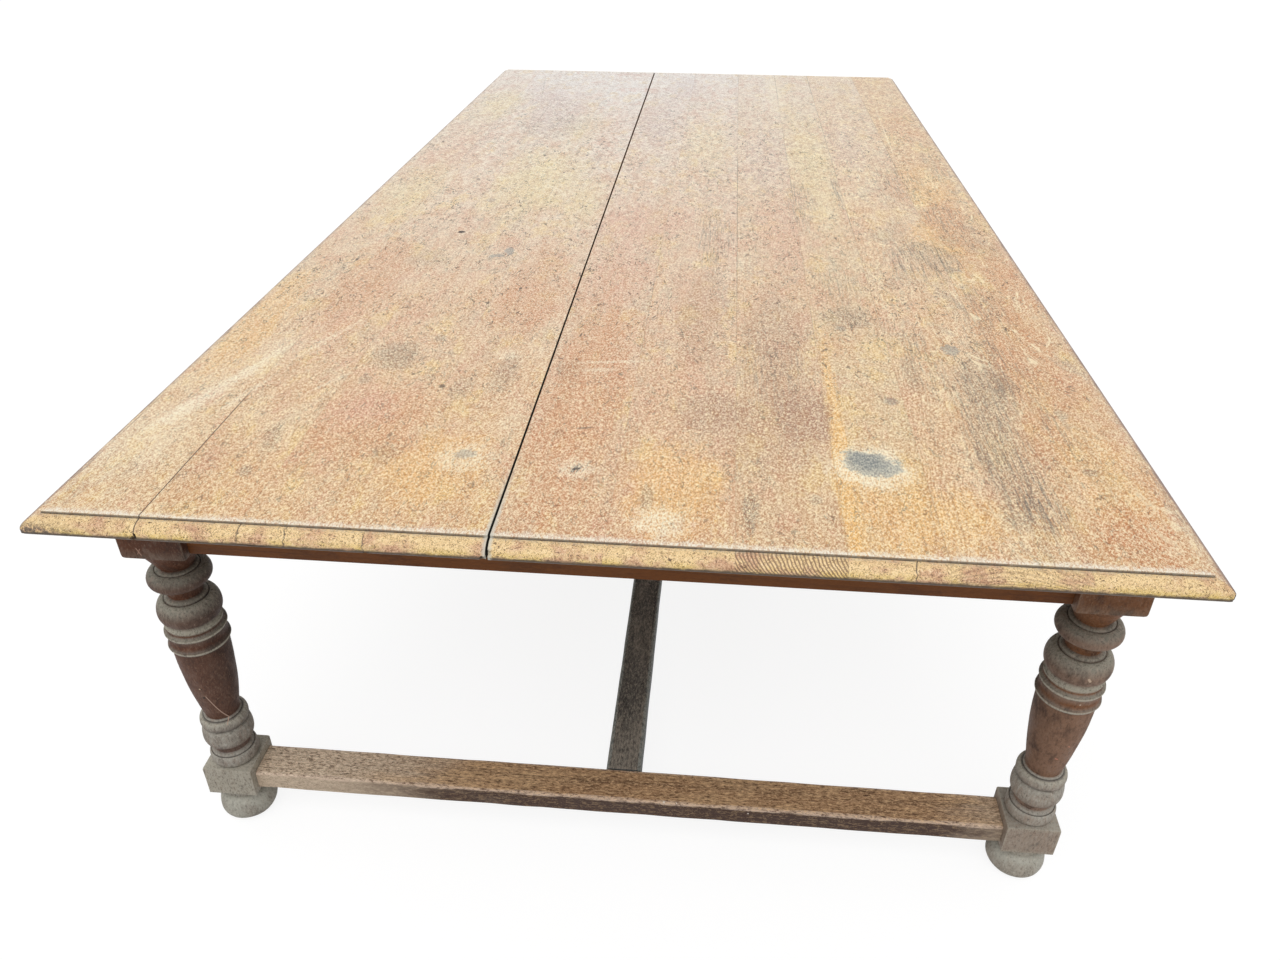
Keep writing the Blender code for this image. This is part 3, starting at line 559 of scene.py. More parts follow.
@dataclass(frozen=True)
class WornTop:
    """The top's finish: dry old wax on stained wood, pale where it is rubbed and dark where dirt lies, with
    painted sheen towards the far end and painted shade under the moulding.
    """

    half_width: float
    half_length: float
    # Far-end colours: bleaching together with painted sheen.
    far_bleach_and_sheen: Colour = tint(253, 251, 248)
    ochre: Colour = tint(216, 156, 98)
    cream: Colour = tint(255, 240, 202)
    bleached_sheen_cream: Colour = tint(250, 247, 240)
    brown: Colour = tint(168, 112, 66)
    bleached_sheen_brown: Colour = tint(174, 146, 128)
    blush: Colour = tint(216, 158, 126)
    orange: Colour = tint(206, 140, 84)
    slate: Colour = tint(156, 146, 134)
    # Soot: dirt in joints, cuts and cracks, and painted shade along the moulding's lower edge.
    soot_and_shade: Colour = tint(74, 62, 52)
    dust: Colour = tint(242, 234, 216)
    apricot: Colour = tint(210, 146, 122)
    straw: Colour = tint(240, 206, 128)
    end_wood: Colour = tint(240, 206, 150)
    end_warm: Colour = tint(208, 160, 124)
    end_gold: Colour = tint(240, 206, 112)
    # Painted shade at the foot of the moulding's end grain.
    end_foot_shade: Colour = tint(146, 106, 64)
    end_pore: Colour = tint(88, 62, 40)
    end_ring: Colour = tint(122, 90, 68)
    side_streak: Colour = tint(132, 108, 96)
    side_worn: Colour = tint(136, 108, 98)
    side_dark: Colour = tint(84, 66, 62)
    joint_dust: Colour = tint(206, 204, 192)
    joint_cool: Colour = tint(74, 74, 70)
    joint_warm: Colour = tint(78, 48, 32)
    scuff: Colour = tint(196, 182, 158)
    left_grime: Colour = tint(86, 76, 68)
    right_grime: Colour = tint(96, 80, 66)
    quirk_dirt: Colour = tint(72, 60, 48)
    underneath: Colour = tint(132, 100, 74)
    flame_middle: float = 0.478
    end_flame_middle: float = 0.49
    underside: float = 0.7566

    def stain(self, shader: Shader, colour: Socket, mark: Mark, at: Places) -> Socket:
        """Lays one mark over the colour so far.

        Args:
            shader: the material in work.
            colour: the colour so far.
            mark: the mark.
            at: the place across the table, the place along it, and the crinkle of the surface.

        Returns:
            The colour with the mark.
        """
        x, y, crinkle = at
        turn = math.radians(mark.turn)
        across, along = shader.less(x, mark.x), shader.less(y, mark.y)
        u = shader.scaled(along, math.sin(turn), shader.product(across, math.cos(turn)))
        v = shader.scaled(across, -math.sin(turn), shader.product(along, math.cos(turn)))
        u, v = shader.product(u, 1 / mark.wide), shader.product(v, 1 / mark.long)
        away = shader.calc("SQRT", shader.calc("ADD", shader.product(u, u), shader.product(v, v)))
        stretch = (2.0 / max(mark.wide, 0.008), 2.0 / max(mark.long, 0.008), 1)
        ragged = shader.noise(stretch, (mark.x * 50, mark.y * 50, 0), 6, 0.8)
        away = shader.scaled(ragged, 2.6, shader.less(away, 1.3))
        soft = 0.16 if mark.kind in (Stain.BLUE, Stain.KNOT) else 0.38
        soft = 0.75 if mark.kind in (Stain.LEMON, Stain.LILAC, Stain.PINK) else soft
        share = shader.product(shader.ramp(away, 1.0 + soft, 1.0 - soft), mark.strength)
        if mark.kind is Stain.PALE:
            share = shader.product(share, shader.ramp(crinkle, 0.44, 0.55, 0.1, 1.0))
        elif mark.kind is Stain.LINES:
            lines = shader.noise((300, 13, 1), (mark.x * 9, 0, 0), 4, 0.8, 0.3, turn=mark.turn)
            even = shader.ramp(crinkle, 0.56, 0.46, 0.4, 1.0)
            share = shader.product(share, shader.ramp(lines, 0.50, 0.58), even)
        elif mark.kind is Stain.GREY:
            share = shader.product(share, shader.ramp(crinkle, 0.44, 0.56, 1.0, 0.4))
        elif mark.kind is not Stain.KNOT:
            share = shader.product(share, shader.ramp(crinkle, 0.44, 0.60, 1.0, 0.5))
        return shader.mix(colour, PAINTS[mark.kind], share)

    def field(
        self, shader: Shader, look: BoardLook, x: Socket, y: Socket, marks: list[Mark]
    ) -> tuple[Socket, Socket]:
        """Makes the flat face's wood.

        Args:
            shader: the material in work.
            look: the board's own look.
            x: the place across the table.
            y: the place along it.
            marks: the broad marks that lie under the fine texture.

        Returns:
            The colour and the crinkle of the surface.
        """
        seed = (look.seed, look.seed * 1.7, 0)
        crinkle = shader.noise((430, 200, 300), seed, 3, 0.8, 0.6)
        # Paler towards the far end: part bleaching, part painted sheen where the light glances off the wax.
        far = shader.calc("ADD", shader.scaled(y, 0.28, 0.42), shader.ramp(y, 0.8, 1.4, 0, 0.14))
        far = shader.product(shader.calc("MAXIMUM", far, 0.0), look.sheen_and_bleach)
        broad = shader.noise((5.5, 2.4, 1), seed, 3, 0.6, 0.4)
        colour = shader.over(look.tone, self.ochre, broad, 0.48, 0.72, 0.55)
        cloud = shader.noise((11, 4.5, 1), (look.seed + 3, 0, 0), 4, 0.65)
        colour = shader.over(colour, self.cream, cloud, 0.5, 0.72, 0.4)
        colour = shader.over(colour, self.blush, cloud, 0.46, 0.30, 0.45)
        colour = shader.mix(colour, self.far_bleach_and_sheen, far)
        middle = shader.product(shader.ramp(y, -1.35, -0.7, 0.55, 1.0), shader.ramp(y, 1.4, 0.5, 0.5, 1.0))
        patch = shader.noise((19, 7, 1), (0, look.seed, 0), 6, 0.8, 0.4)
        hue = shader.noise((17, 8, 1), (look.seed, 4, 0), 4, 0.7)
        share = shader.product(middle, look.mottle)
        colour = shader.mix(colour, self.orange, shader.product(shader.ramp(patch, 0.47, 0.62), share))
        colour = shader.mix(colour, self.slate, shader.product(shader.ramp(patch, 0.48, 0.38), share, 0.85))
        colour = shader.over(colour, self.apricot, hue, 0.52, 0.66, 0.6)
        colour = shader.over(colour, self.straw, hue, 0.48, 0.34, 0.65)
        for mark in marks:
            colour = self.stain(shader, colour, mark, (x, y, crinkle))
        # The grain's colours wash out towards the far end with the same bleaching and painted sheen.
        cream = shader.mix(self.cream, self.bleached_sheen_cream, far)
        brown = shader.mix(self.brown, self.bleached_sheen_brown, far)
        streak = shader.noise((46, 1.1, 20), seed, 4, 0.65, 0.3)
        colour = shader.over(colour, brown, streak, 0.5, 0.72, look.streaks * 0.6)
        if look.flame:
            bow = shader.calc("POWER", shader.less(x, self.flame_middle), 2.0)
            rings = shader.scaled(bow, 330.0, shader.calc("MULTIPLY", y, 2.2))
            wander = shader.noise((9, 1.8, 1), seed, 3, 0.6)
            rings = shader.scaled(wander, 2.4, rings)
            wave = shader.calc("SINE", shader.product(rings, 34.0))
            colour = shader.over(colour, brown, wave, 0.2, 1.0, 0.35)
            colour = shader.over(colour, cream, wave, -0.3, -1.0, 0.3)
        fine = shader.noise((260, 8, 210), seed, 2, 0.7)
        colour = shader.over(colour, brown, fine, 0.50, 0.70, 0.45)
        colour = shader.over(colour, cream, crinkle, 0.50, 0.58, 0.55)
        colour = shader.over(colour, brown, crinkle, 0.48, 0.40, 0.4)
        for turn, shift in ((-34, 1.0), (30, 5.0)):
            strokes = shader.noise((430, 170, 1), (shift, look.seed, 0), 2, 0.8, 0.4, turn=turn)
            colour = shader.over(colour, cream, strokes, 0.53, 0.60, 0.5)
            colour = shader.over(colour, brown, strokes, 0.47, 0.40, 0.45)
        reach = shader.ramp(y, -0.9, 0.6)
        for turn, shift in ((28, 3.0), (-40, 7.0)):
            strokes = shader.noise((130, 42, 1), (shift, look.seed, 0), 3, 0.8, 0.6, turn=turn)
            light = shader.product(shader.ramp(strokes, 0.53, 0.61, 0, 0.56), reach)
            dark = shader.product(shader.ramp(strokes, 0.46, 0.38, 0, 0.34), reach)
            colour = shader.mix(shader.mix(colour, cream, light), brown, dark)
        for turn, shift in ((12, 2.0), (-24, 9.0)):
            bend = shader.noise((64, 22, 1), (shift, look.seed, 0), 2, 0.55, 0.8, turn=turn)
            thin = shader.gap(bend, 0.5)
            short = shader.noise((75, 36, 1), (shift + 5, look.seed, 0), 2, 0.6)
            where = shader.noise((9, 5, 1), (shift + look.seed, 0, 0), 3, 0.7)
            cut = shader.product(shader.ramp(thin, 0.018, 0.004), shader.ramp(short, 0.48, 0.56))
            cut = shader.product(cut, shader.ramp(where, 0.40, 0.54), middle, 0.85)
            colour = shader.mix(colour, self.soot_and_shade, cut)
        if look.veins:
            bend = shader.noise((15, 6, 1), (look.seed, 6, 0), 3, 0.6, 1.4)
            thin = shader.gap(bend, 0.5)
            where = shader.noise((13, 7, 1), (2, look.seed, 0), 3, 0.7)
            vein = shader.product(shader.ramp(thin, 0.014, 0.003), shader.ramp(where, 0.44, 0.56))
            colour = shader.mix(colour, self.cream, shader.product(vein, middle, 0.7))
        return colour, crinkle

    def moulding(
        self, shader: Shader, look: BoardLook, field: Socket, end: Socket, inset: Socket, z: Socket
    ) -> Socket:
        """Makes the moulded edge's wood: open end grain on the ends and long grain on the sides.

        Args:
            shader: the material in work.
            look: the board's own look.
            field: the colour of the flat face, which the long sides carry on.
            end: 1 on the ends and 0 on the long sides.
            inset: the distance in from the edge.
            z: the height.

        Returns:
            The colour.
        """
        seed = (look.seed, look.seed, 0)
        blotch = shader.noise((17, 17, 40), seed, 4, 0.65)
        wood = shader.over(self.end_wood, self.end_warm, blotch, 0.46, 0.66)
        low = shader.product(shader.ramp(z, 0.772, 0.760), shader.ramp(blotch, 0.56, 0.42))
        wood = shader.mix(wood, self.end_gold, shader.product(low, 0.85))
        # Painted shade: the end grain darkens towards the foot of the moulding.
        wood = shader.over(wood, self.end_foot_shade, z, 0.7640, 0.7565, 0.6)
        dots = shader.noise((250, 250, 290), seed, 4, 0.9, 1.6)
        wood = shader.over(wood, self.end_pore, dots, 0.515, 0.60, 0.95)
        wood = shader.over(wood, self.cream, dots, 0.47, 0.39, 0.55)
        if look.rays or look.flame:
            parts = shader.split(shader.place)
            if look.rays:
                slant = shader.scaled(parts[2], 0.9, parts[0])
                wave = shader.calc("SINE", shader.scaled(blotch, 14.0, shader.product(slant, 1300.0)))
            else:
                bow = shader.calc("POWER", shader.less(parts[0], self.end_flame_middle), 2.0)
                bow = shader.product(bow, 3200.0)
                wave = shader.calc("SINE", shader.scaled(parts[2], 1900.0, bow))
            wood = shader.over(wood, self.end_ring, wave, -0.2, 0.7, 0.8 if look.rays else 0.3)
        long = shader.noise((260, 12, 260), seed, 4, 0.75)
        side = shader.over(field, self.side_streak, long, 0.48, 0.66, 0.6)
        outer = shader.scaled(blotch, -0.014, inset)
        side = shader.over(side, self.side_worn, outer, 0.0070, -0.0010, 0.9)
        side = shader.over(side, self.side_dark, outer, 0.0000, -0.0050, 0.8)
        return shader.mix(side, wood, end)

    def away(self, shader: Shader, joint: Joint, x: Socket, y: Socket) -> Socket:
        """Measures how far a place is from a joint.

        Args:
            shader: the material in work.
            joint: the joint.
            x: the place across the table.
            y: the place along it.

        Returns:
            The distance.
        """
        lean = (joint.far - joint.near) / (2 * self.half_length)
        line = shader.scaled(y, -lean, shader.less(x, (joint.near + joint.far) / 2))
        return shader.calc("ABSOLUTE", line)

    def joint_dirt(self, shader: Shader, colour: Socket, joint: Joint, at: Places) -> Socket:
        """Draws the dirt in one joint, with pale dust beside it if it stands open.

        Args:
            shader: the material in work.
            colour: the colour so far.
            joint: the joint.
            at: the place across the table, the place along it, and the ragged noise.

        Returns:
            The colour with the joint.
        """
        x, y, ragged = at
        away = self.away(shader, joint, x, y)
        if joint.stands_open:
            dusty = shader.scaled(ragged, -0.008, away)
            beside, near = shader.ramp(dusty, 0.004, -0.001), shader.ramp(y, -1.30, -1.50, 0.04, 0.75)
            colour = shader.mix(colour, self.joint_dust, shader.product(beside, near))
            dark = shader.less(away, shader.ramp(y, -0.9, 1.4, 0, 0.0008))
            inside = shader.over(self.joint_cool, self.joint_warm, y, -1.2, 0.2)
            return shader.over(colour, inside, dark, 0.0019, 0.0014, 0.95)
        shown = shader.noise((1, 2.2, 1), (joint.near * 40, 3, 0), 3, 0.6)
        share = shader.product(shader.ramp(shown, 0.40, 0.62, 0.3, 1.6), joint.dirt)
        share = shader.product(share, shader.ramp(y, -1.2, -0.5, 0.15, 1.0))
        share = shader.calc("MAXIMUM", share, shader.ramp(y, -1.12, -1.22, 0, joint.near_dirt))
        return shader.mix(colour, self.soot_and_shade, shader.product(shader.ramp(away, 0.0011, 0.0004), share))

    def material(self, number: int, look: BoardLook, joints: list[Joint]) -> bpy.types.Material:
        """Makes one board's material.

        Args:
            number: the board's number from the left, from 1.
            look: its own look.
            joints: its own joints.

        Returns:
            The material.
        """
        shader = Shader(f"worn_top_{number}")
        x, y, z = shader.split(shader.place)
        low = joints[0].near if number > 1 else -1.0
        high = joints[-1].near if number < len(BOARD_LOOKS) else 1.0
        broad, fine = (
            [mark for mark in marks if mark.x + mark.wide > low and mark.x - mark.wide < high]
            for marks in (UNDER_TEXTURE, OVER_TEXTURE)
        )
        colour, crinkle = self.field(shader, look, x, y, broad)
        for mark in fine:
            colour = self.stain(shader, colour, mark, (x, y, crinkle))
        in_side = shader.less(self.half_width, shader.calc("ABSOLUTE", x))
        in_end = shader.less(self.half_length, shader.calc("ABSOLUTE", y))
        inset = shader.calc("MINIMUM", in_side, in_end)
        end = shader.calc("LESS_THAN", in_end, in_side)
        ragged = shader.noise((260, 260, 260), (look.seed, 0, 0), 3, 0.7)
        worn = shader.scaled(ragged, -0.020, inset)
        patchy = shader.noise((24, 24, 24), (look.seed, 0, 5), 3, 0.7)
        worn = shader.scaled(patchy, -0.016, worn)
        grit = shader.ramp(crinkle, 0.44, 0.54, 0.25, 0.95)
        rubbed = shader.product(shader.ramp(worn, 0.0155, 0.0035), grit, shader.scaled(end, 0.85, 0.15))
        colour = shader.mix(colour, self.dust, rubbed)
        edge = self.moulding(shader, look, colour, end, inset, z)
        upper = shader.product(shader.ramp(inset, 0.013, 0.020, 0, 0.7), shader.ramp(ragged, 0.4, 0.6), end)
        edge = shader.mix(edge, self.scuff, upper)
        corner = shader.product(shader.ramp(x, -0.64, -0.735), shader.ramp(z, 0.777, 0.764))
        corner = shader.product(corner, shader.ramp(ragged, 0.42, 0.54), 0.9)
        edge = shader.mix(edge, self.left_grime, corner)
        corner = shader.product(shader.ramp(x, 0.735, 0.7445), shader.ramp(z, 0.774, 0.762))
        corner = shader.product(corner, shader.ramp(ragged, 0.40, 0.54), 0.8)
        edge = shader.mix(edge, self.right_grime, corner)
        edge_noise = shader.noise((70, 70, 200), (look.seed + 2, 0, 0), 4, 0.65)
        # Painted shade along the lower edge of the moulding.
        shade_under_edge = shader.scaled(edge_noise, -0.008, z)
        edge = shader.over(edge, self.soot_and_shade, shade_under_edge, 0.7592, 0.7550, 0.95)
        uneven = shader.ramp(edge_noise, 0.3, 0.5, 0.7, 0.95)
        quirk = shader.product(shader.ramp(inset, 0.0196, 0.0203), uneven, shader.scaled(end, 0.7, 0.3))
        edge = shader.mix(edge, self.quirk_dirt, quirk)
        for place in look.cracks:
            wander = shader.scaled(edge_noise, 0.012, shader.less(x, place + 0.006))
            line = shader.ramp(shader.calc("ABSOLUTE", wander), 0.0010, 0.0004, 0, 0.85)
            edge = shader.mix(edge, self.soot_and_shade, shader.product(line, end))
        colour = shader.over(colour, edge, inset, 0.02160, 0.0213)
        for joint in joints:
            colour = self.joint_dirt(shader, colour, joint, (x, y, ragged))
        colour = shader.over(colour, self.underneath, z, self.underside, self.underside - 0.0004)
        rough = shader.ramp(ragged, 0.35, 0.65, 0.46, 0.6)
        shine = 0.5
        for joint in joints:
            if joint.stands_open:
                shine = shader.ramp(self.away(shader, joint, x, y), 0.0016, 0.0030, 0.0, 0.5)
        return shader.dress(colour, rough, crinkle, 0.0004, shine)


@dataclass(frozen=True)
class Nick:
    """A small scratch or speck on a near face: its ends, half width and colour, and how far back it shows."""

    start: tuple[float, float]
    end: tuple[float, float]
    half_wide: float
    colour: Colour
    front: float = -1.335

    def lay(self, shader: Shader, colour: Socket) -> Socket:
        """Draws the nick.

        Args:
            shader: the material in work.
            colour: the colour so far.

        Returns:
            The colour with the nick.
        """
        x, y, z = shader.split(shader.place)
        run, rise = self.end[0] - self.start[0], self.end[1] - self.start[1]
        across, up = shader.less(x, self.start[0]), shader.less(z, self.start[1])
        whole = run * run + rise * rise
        if whole:
            share = shader.scaled(up, rise / whole, shader.product(across, run / whole))
            share = shader.calc("MINIMUM", shader.calc("MAXIMUM", share, 0.0), 1.0)
            across = shader.scaled(share, -run, across)
            up = shader.scaled(share, -rise, up)
        away = shader.calc("SQRT", shader.scaled(across, across, shader.product(up, up)))
        shown = shader.calc("LESS_THAN", y, self.front)
        shown = shader.product(shader.ramp(away, 1.4 * self.half_wide, 0.6 * self.half_wide), shown, 0.85)
        return shader.mix(colour, self.colour, shown)


CHALKY = tint(226, 216, 202)
LEFT_NICKS = (
    Nick((-0.6875, 0.3100), (-0.6695, 0.2390), 0.0007, tint(186, 158, 140)),
    Nick((-0.6914, 0.3067), (-0.6914, 0.3067), 0.0024, tint(24, 14, 10)),
    Nick((-0.6900, 0.3290), (-0.6900, 0.3290), 0.0015, tint(44, 26, 18)),
    Nick((-0.6925, 0.3285), (-0.6925, 0.3285), 0.0013, tint(212, 190, 158)),
    Nick((-0.7132, 0.6225), (-0.7084, 0.6105), 0.0008, tint(172, 136, 118)),
    Nick((-0.7080, 0.6215), (-0.7132, 0.6120), 0.0007, tint(160, 124, 106)),
)
RIGHT_NICKS = (
    Nick((0.6920, 0.4800), (0.6945, 0.4765), 0.0018, tint(204, 180, 156)),
    Nick((0.6890, 0.2985), (0.6920, 0.2975), 0.0012, tint(196, 128, 104)),
    Nick((0.7010, 0.3305), (0.7025, 0.3290), 0.0011, tint(190, 132, 106)),
    Nick((0.6938, 0.4251), (0.6938, 0.4251), 0.0013, tint(206, 186, 164)),
)
BAR_NICKS = tuple(
    Nick((x, z), (x, z), wide, CHALKY, -1.353)
    for x, z, wide in ((0.0762, 0.1172, 0.0017), (0.0980, 0.1165, 0.0009), (0.2211, 0.1060, 0.0014))
)


@dataclass(frozen=True)
class OldStain:
    """The frame's finish: a dark red brown stain, rubbed grey and dusty towards the floor, with painted shade
    towards the top.
    """

    name: str
    brown: Colour = tint(96, 74, 64)
    red: Colour = tint(90, 52, 32)
    grey: Colour = tint(164, 159, 149)
    pale: Colour = tint(190, 185, 168)
    dark: Colour = tint(36, 30, 27)
    nicks: tuple[Nick, ...] = ()
    patch: Colour = tint(58, 42, 36)
    haze: Colour = tint(128, 106, 92)
    # Dust colour darkened by painted shade, for the upper legs under the table.
    upper_dust_shaded: Colour = tint(112, 109, 98)
    streaks: Colour = tint(160, 142, 128)
    floor_dust: Colour = tint(182, 182, 170)
    shaded: Colour = tint(40, 28, 23)
    speckle: Colour = tint(150, 124, 104)
    dusty_speckle: Colour = tint(206, 202, 190)

    def material(self) -> bpy.types.Material:
        """Makes the material of a turned piece, from its pale, dark, red, grey and shade attributes.

        Returns:
            The material.
        """
        shader = Shader(self.name)
        patch = shader.noise((38, 38, 24), UNMOVED, 5, 0.72)
        fine = shader.noise((300, 300, 130), UNMOVED, 4, 0.85)
        streak = shader.noise((150, 150, 14), UNMOVED, 3, 0.7, 0.4)
        height = shader.split(shader.place)[2]
        colour = shader.mix(self.brown, self.red, shader.attribute("red"))
        colour = shader.over(colour, self.patch, patch, 0.49, 0.66, 0.62)
        haze = shader.product(shader.ramp(patch, 0.48, 0.34), shader.attribute("red"))
        colour = shader.mix(colour, self.haze, shader.product(haze, 0.4))
        up = shader.ramp(shader.facing_up(), 0.05, 0.8, 0, 0.65)
        grey = shader.scaled(shader.attribute("grey"), 0.85, up)
        grey = shader.product(grey, shader.ramp(patch, 0.35, 0.62, 1.0, 0.6))
        # Painted shade: the dust darkens towards the top of the leg, under the table.
        dusty = shader.over(self.upper_dust_shaded, self.grey, height, 0.58, 0.10)
        dusty = shader.over(dusty, self.streaks, streak, 0.50, 0.66, 0.6)
        dusty = shader.over(dusty, self.floor_dust, height, 0.080, 0.055, 0.6)
        colour = shader.mix(colour, dusty, shader.calc("MINIMUM", grey, 0.93))
        colour = shader.mix(colour, self.shaded, shader.product(shader.attribute("shade"), 0.6))
        rub = shader.product(shader.attribute("pale"), shader.ramp(fine, 0.38, 0.54, 0.5, 0.95))
        colour = shader.mix(colour, self.pale, rub)
        light = shader.mix(self.speckle, self.dusty_speckle, shader.attribute("grey"))
        colour = shader.over(colour, light, fine, 0.53, 0.66, 0.4)
        colour = shader.over(colour, self.dark, fine, 0.47, 0.36, 0.46)
        pits = shader.ramp(shader.cells((230, 230, 150)), 0.24, 0.12)
        pits = shader.product(pits, shader.attribute("grey"), shader.ramp(patch, 0.45, 0.55))
        colour = shader.mix(colour, self.dark, shader.product(pits, 0.28))
        colour = shader.mix(colour, self.dark, shader.product(shader.attribute("dark"), 0.9))
        for nick in self.nicks:
            colour = nick.lay(shader, colour)
        relief = shader.less(fine, shader.product(pits, 0.6))
        return shader.dress(colour, shader.ramp(patch, 0.3, 0.7, 0.5, 0.68), relief, 0.0007, 0.2)


@dataclass(frozen=True)
class BarFinish:
    """A straight piece's finish: long streaks, short dark flecks and rubbed arrises."""

    name: str
    axis: str
    base: Colour
    light: Colour
    dark: Colour
    side: Colour
    flecks: float = 0.5
    ends: Colour | None = None
    rubbed: Colour = tint(204, 178, 156)
    nicks: tuple[Nick, ...] = ()
    grit: Colour = tint(122, 108, 92)
    end_fleck: Colour = tint(244, 232, 212)

    def material(self) -> bpy.types.Material:
        """Makes the material, its grain running along the piece's axis.

        Returns:
            The material.
        """
        shader = Shader(self.name)

        def along(fast: float, slow: float) -> Point:
            """Returns a stretch that is slow along the grain and fast across it."""
            return tuple(slow if letter == self.axis else fast for letter in "XYZ")

        broad = shader.noise(along(14, 5), UNMOVED, 4, 0.65)
        streak = shader.noise(along(130, 4), UNMOVED, 4, 0.65, 0.3)
        fleck = shader.noise(along(290, 95), UNMOVED, 4, 0.9, 0.5)
        colour = shader.over(self.base, self.light, broad, 0.42, 0.66, 0.5)
        colour = shader.over(self.side, colour, shader.facing_up(), 0.3, 0.8)
        colour = shader.over(colour, self.dark, streak, 0.48, 0.70, 0.5)
        patch = shader.noise(along(34, 9), (7, 3, 1), 5, 0.75)
        colour = shader.over(colour, self.dark, patch, 0.50, 0.64, 0.45)
        light = self.light
        if self.ends:
            place = shader.split(shader.place)["XYZ".index(self.axis)]
            left = shader.ramp(shader.scaled(broad, 0.50, place), 0.06, -0.30, 0, 0.75)
            right = shader.ramp(shader.scaled(broad, -0.30, place), 0.38, 0.50, 0, 0.4)
            pale = shader.calc("MAXIMUM", left, right)
            colour = shader.mix(colour, self.ends, pale)
            grit = shader.noise(along(420, 260), UNMOVED, 3, 0.9)
            speckled = shader.product(shader.ramp(grit, 0.49, 0.40), pale, 0.8)
            colour = shader.mix(colour, self.grit, speckled)
            light = shader.mix(self.light, self.end_fleck, pale)
        rub = shader.product(shader.attribute("worn"), shader.ramp(fleck, 0.40, 0.54, 0.25, 0.9))
        colour = shader.mix(colour, self.rubbed, rub)
        upper = shader.ramp(shader.facing_up(), 0.3, 0.8, 0.3 * self.flecks, self.flecks)
        colour = shader.mix(colour, light, shader.product(shader.ramp(fleck, 0.51, 0.60), upper))
        colour = shader.mix(colour, self.dark, shader.product(shader.ramp(fleck, 0.49, 0.38), upper))
        for nick in self.nicks:
            colour = nick.lay(shader, colour)
        return shader.dress(colour, shader.ramp(broad, 0.3, 0.7, 0.48, 0.64), fleck, 0.0006, 0.2)


def write_mesh(name: str, bm: bmesh.types.BMesh) -> bpy.types.Mesh:
    """Writes a bmesh into a new mesh and frees it.

    Args:
        name: the mesh's name.
        bm: the bmesh.

    Returns:
        The mesh.
    """
    mesh = bpy.data.meshes.new(name)
    bm.to_mesh(mesh)
    bm.free()
    return mesh


def put_in_scene(name: str, data: bpy.types.ID) -> bpy.types.Object:
    """Makes an object and puts it in the scene.

    Args:
        name: the object's name.
        data: its mesh, lamp or camera.

    Returns:
        The object.
    """
    item = bpy.data.objects.new(name, data)
    bpy.context.scene.collection.objects.link(item)
    return item


def as_piece(
    name: str, bm: bmesh.types.BMesh, material: bpy.types.Material, node: str, sharp: float = 32.0
) -> bpy.types.Object:
    """Makes a bmesh an object that rides on the table and stands for a solid.

    Args:
        name: the piece's name.
        bm: its mesh, which is freed.
        material: its material.
        node: the solid that it stands for.
        sharp: the angle in degrees past which an edge is drawn sharp.

    Returns:
        The object.
    """
    bmesh.ops.recalc_face_normals(bm, faces=bm.faces)
    mesh = write_mesh(name, bm)
    mesh.shade_smooth()
    mesh.set_sharp_from_angle(angle=math.radians(sharp))
    mesh.materials.append(material)
    piece = put_in_scene(name, mesh)
    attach(piece, "root")
    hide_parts(node)
    LOG.info("%s: %d faces", name, len(mesh.polygons))
    return piece


def soften(bm: bmesh.types.BMesh, parts: list, offset: float, segments: int = 2, kind: str = "EDGES") -> None:
    """Rounds edges or corners.

    Args:
        bm: the mesh.
        parts: the edges or corners to round.
        offset: how wide the rounding is.
        segments: how many strips it has.
        kind: EDGES or VERTICES.
    """
    bmesh.ops.bevel(
        bm, geom=parts, offset=offset, offset_type="OFFSET", segments=segments, profile=0.5, affect=kind,
        clamp_overlap=True, material=-1,
    )


def score(bm: bmesh.types.BMesh, point: Point, normal: Point) -> None:
    """Adds edges to a mesh where the plane through a point crosses it."""
    bmesh.ops.bisect_plane(bm, geom=bm.verts[:] + bm.edges[:] + bm.faces[:], plane_co=point, plane_no=normal)


def run_of(edge: bmesh.types.BMEdge) -> Vector:
    """Returns the direction that an edge runs in."""
    return (edge.verts[0].co - edge.verts[1].co).normalized()


@dataclass(frozen=True)
class Chip:
    """A piece broken out of a board's edge: the board's number, the place, the half sizes and the turn."""

    board: int
    place: Point
    size: Point
    turn: float = 0.0

    def break_out(self, board: bpy.types.Object) -> None:
        """Takes the chip out of its board.

        Args:
            board: the board.
        """
        bm = bmesh.new()
        bmesh.ops.create_icosphere(bm, subdivisions=3, radius=1.0)
        for vert in bm.verts:
            vert.co *= 1 + 0.5 * noise.noise(vert.co * 1.8 + Vector(self.place) * 90)
        bmesh.ops.scale(bm, vec=self.size, verts=bm.verts)
        turn = Matrix.Rotation(math.radians(self.turn), 3, "Y")
        bmesh.ops.rotate(bm, cent=(0, 0, 0), matrix=turn, verts=bm.verts)
        bmesh.ops.translate(bm, vec=self.place, verts=bm.verts)
        whole, chip = board.data, write_mesh("chip", bm)
        tool = put_in_scene("chip", chip)
        step = board.modifiers.new("chip", "BOOLEAN")
        step.operation, step.solver, step.object = "DIFFERENCE", "EXACT", tool
        bpy.context.view_layer.update()
        shown = board.evaluated_get(bpy.context.evaluated_depsgraph_get())
        chipped = bpy.data.meshes.new_from_object(shown)
        board.modifiers.clear()
        board.data = chipped
        chipped.name = whole.name + "_chipped"
        bpy.data.objects.remove(tool)
        for mesh in (whole, chip):
            bpy.data.meshes.remove(mesh)


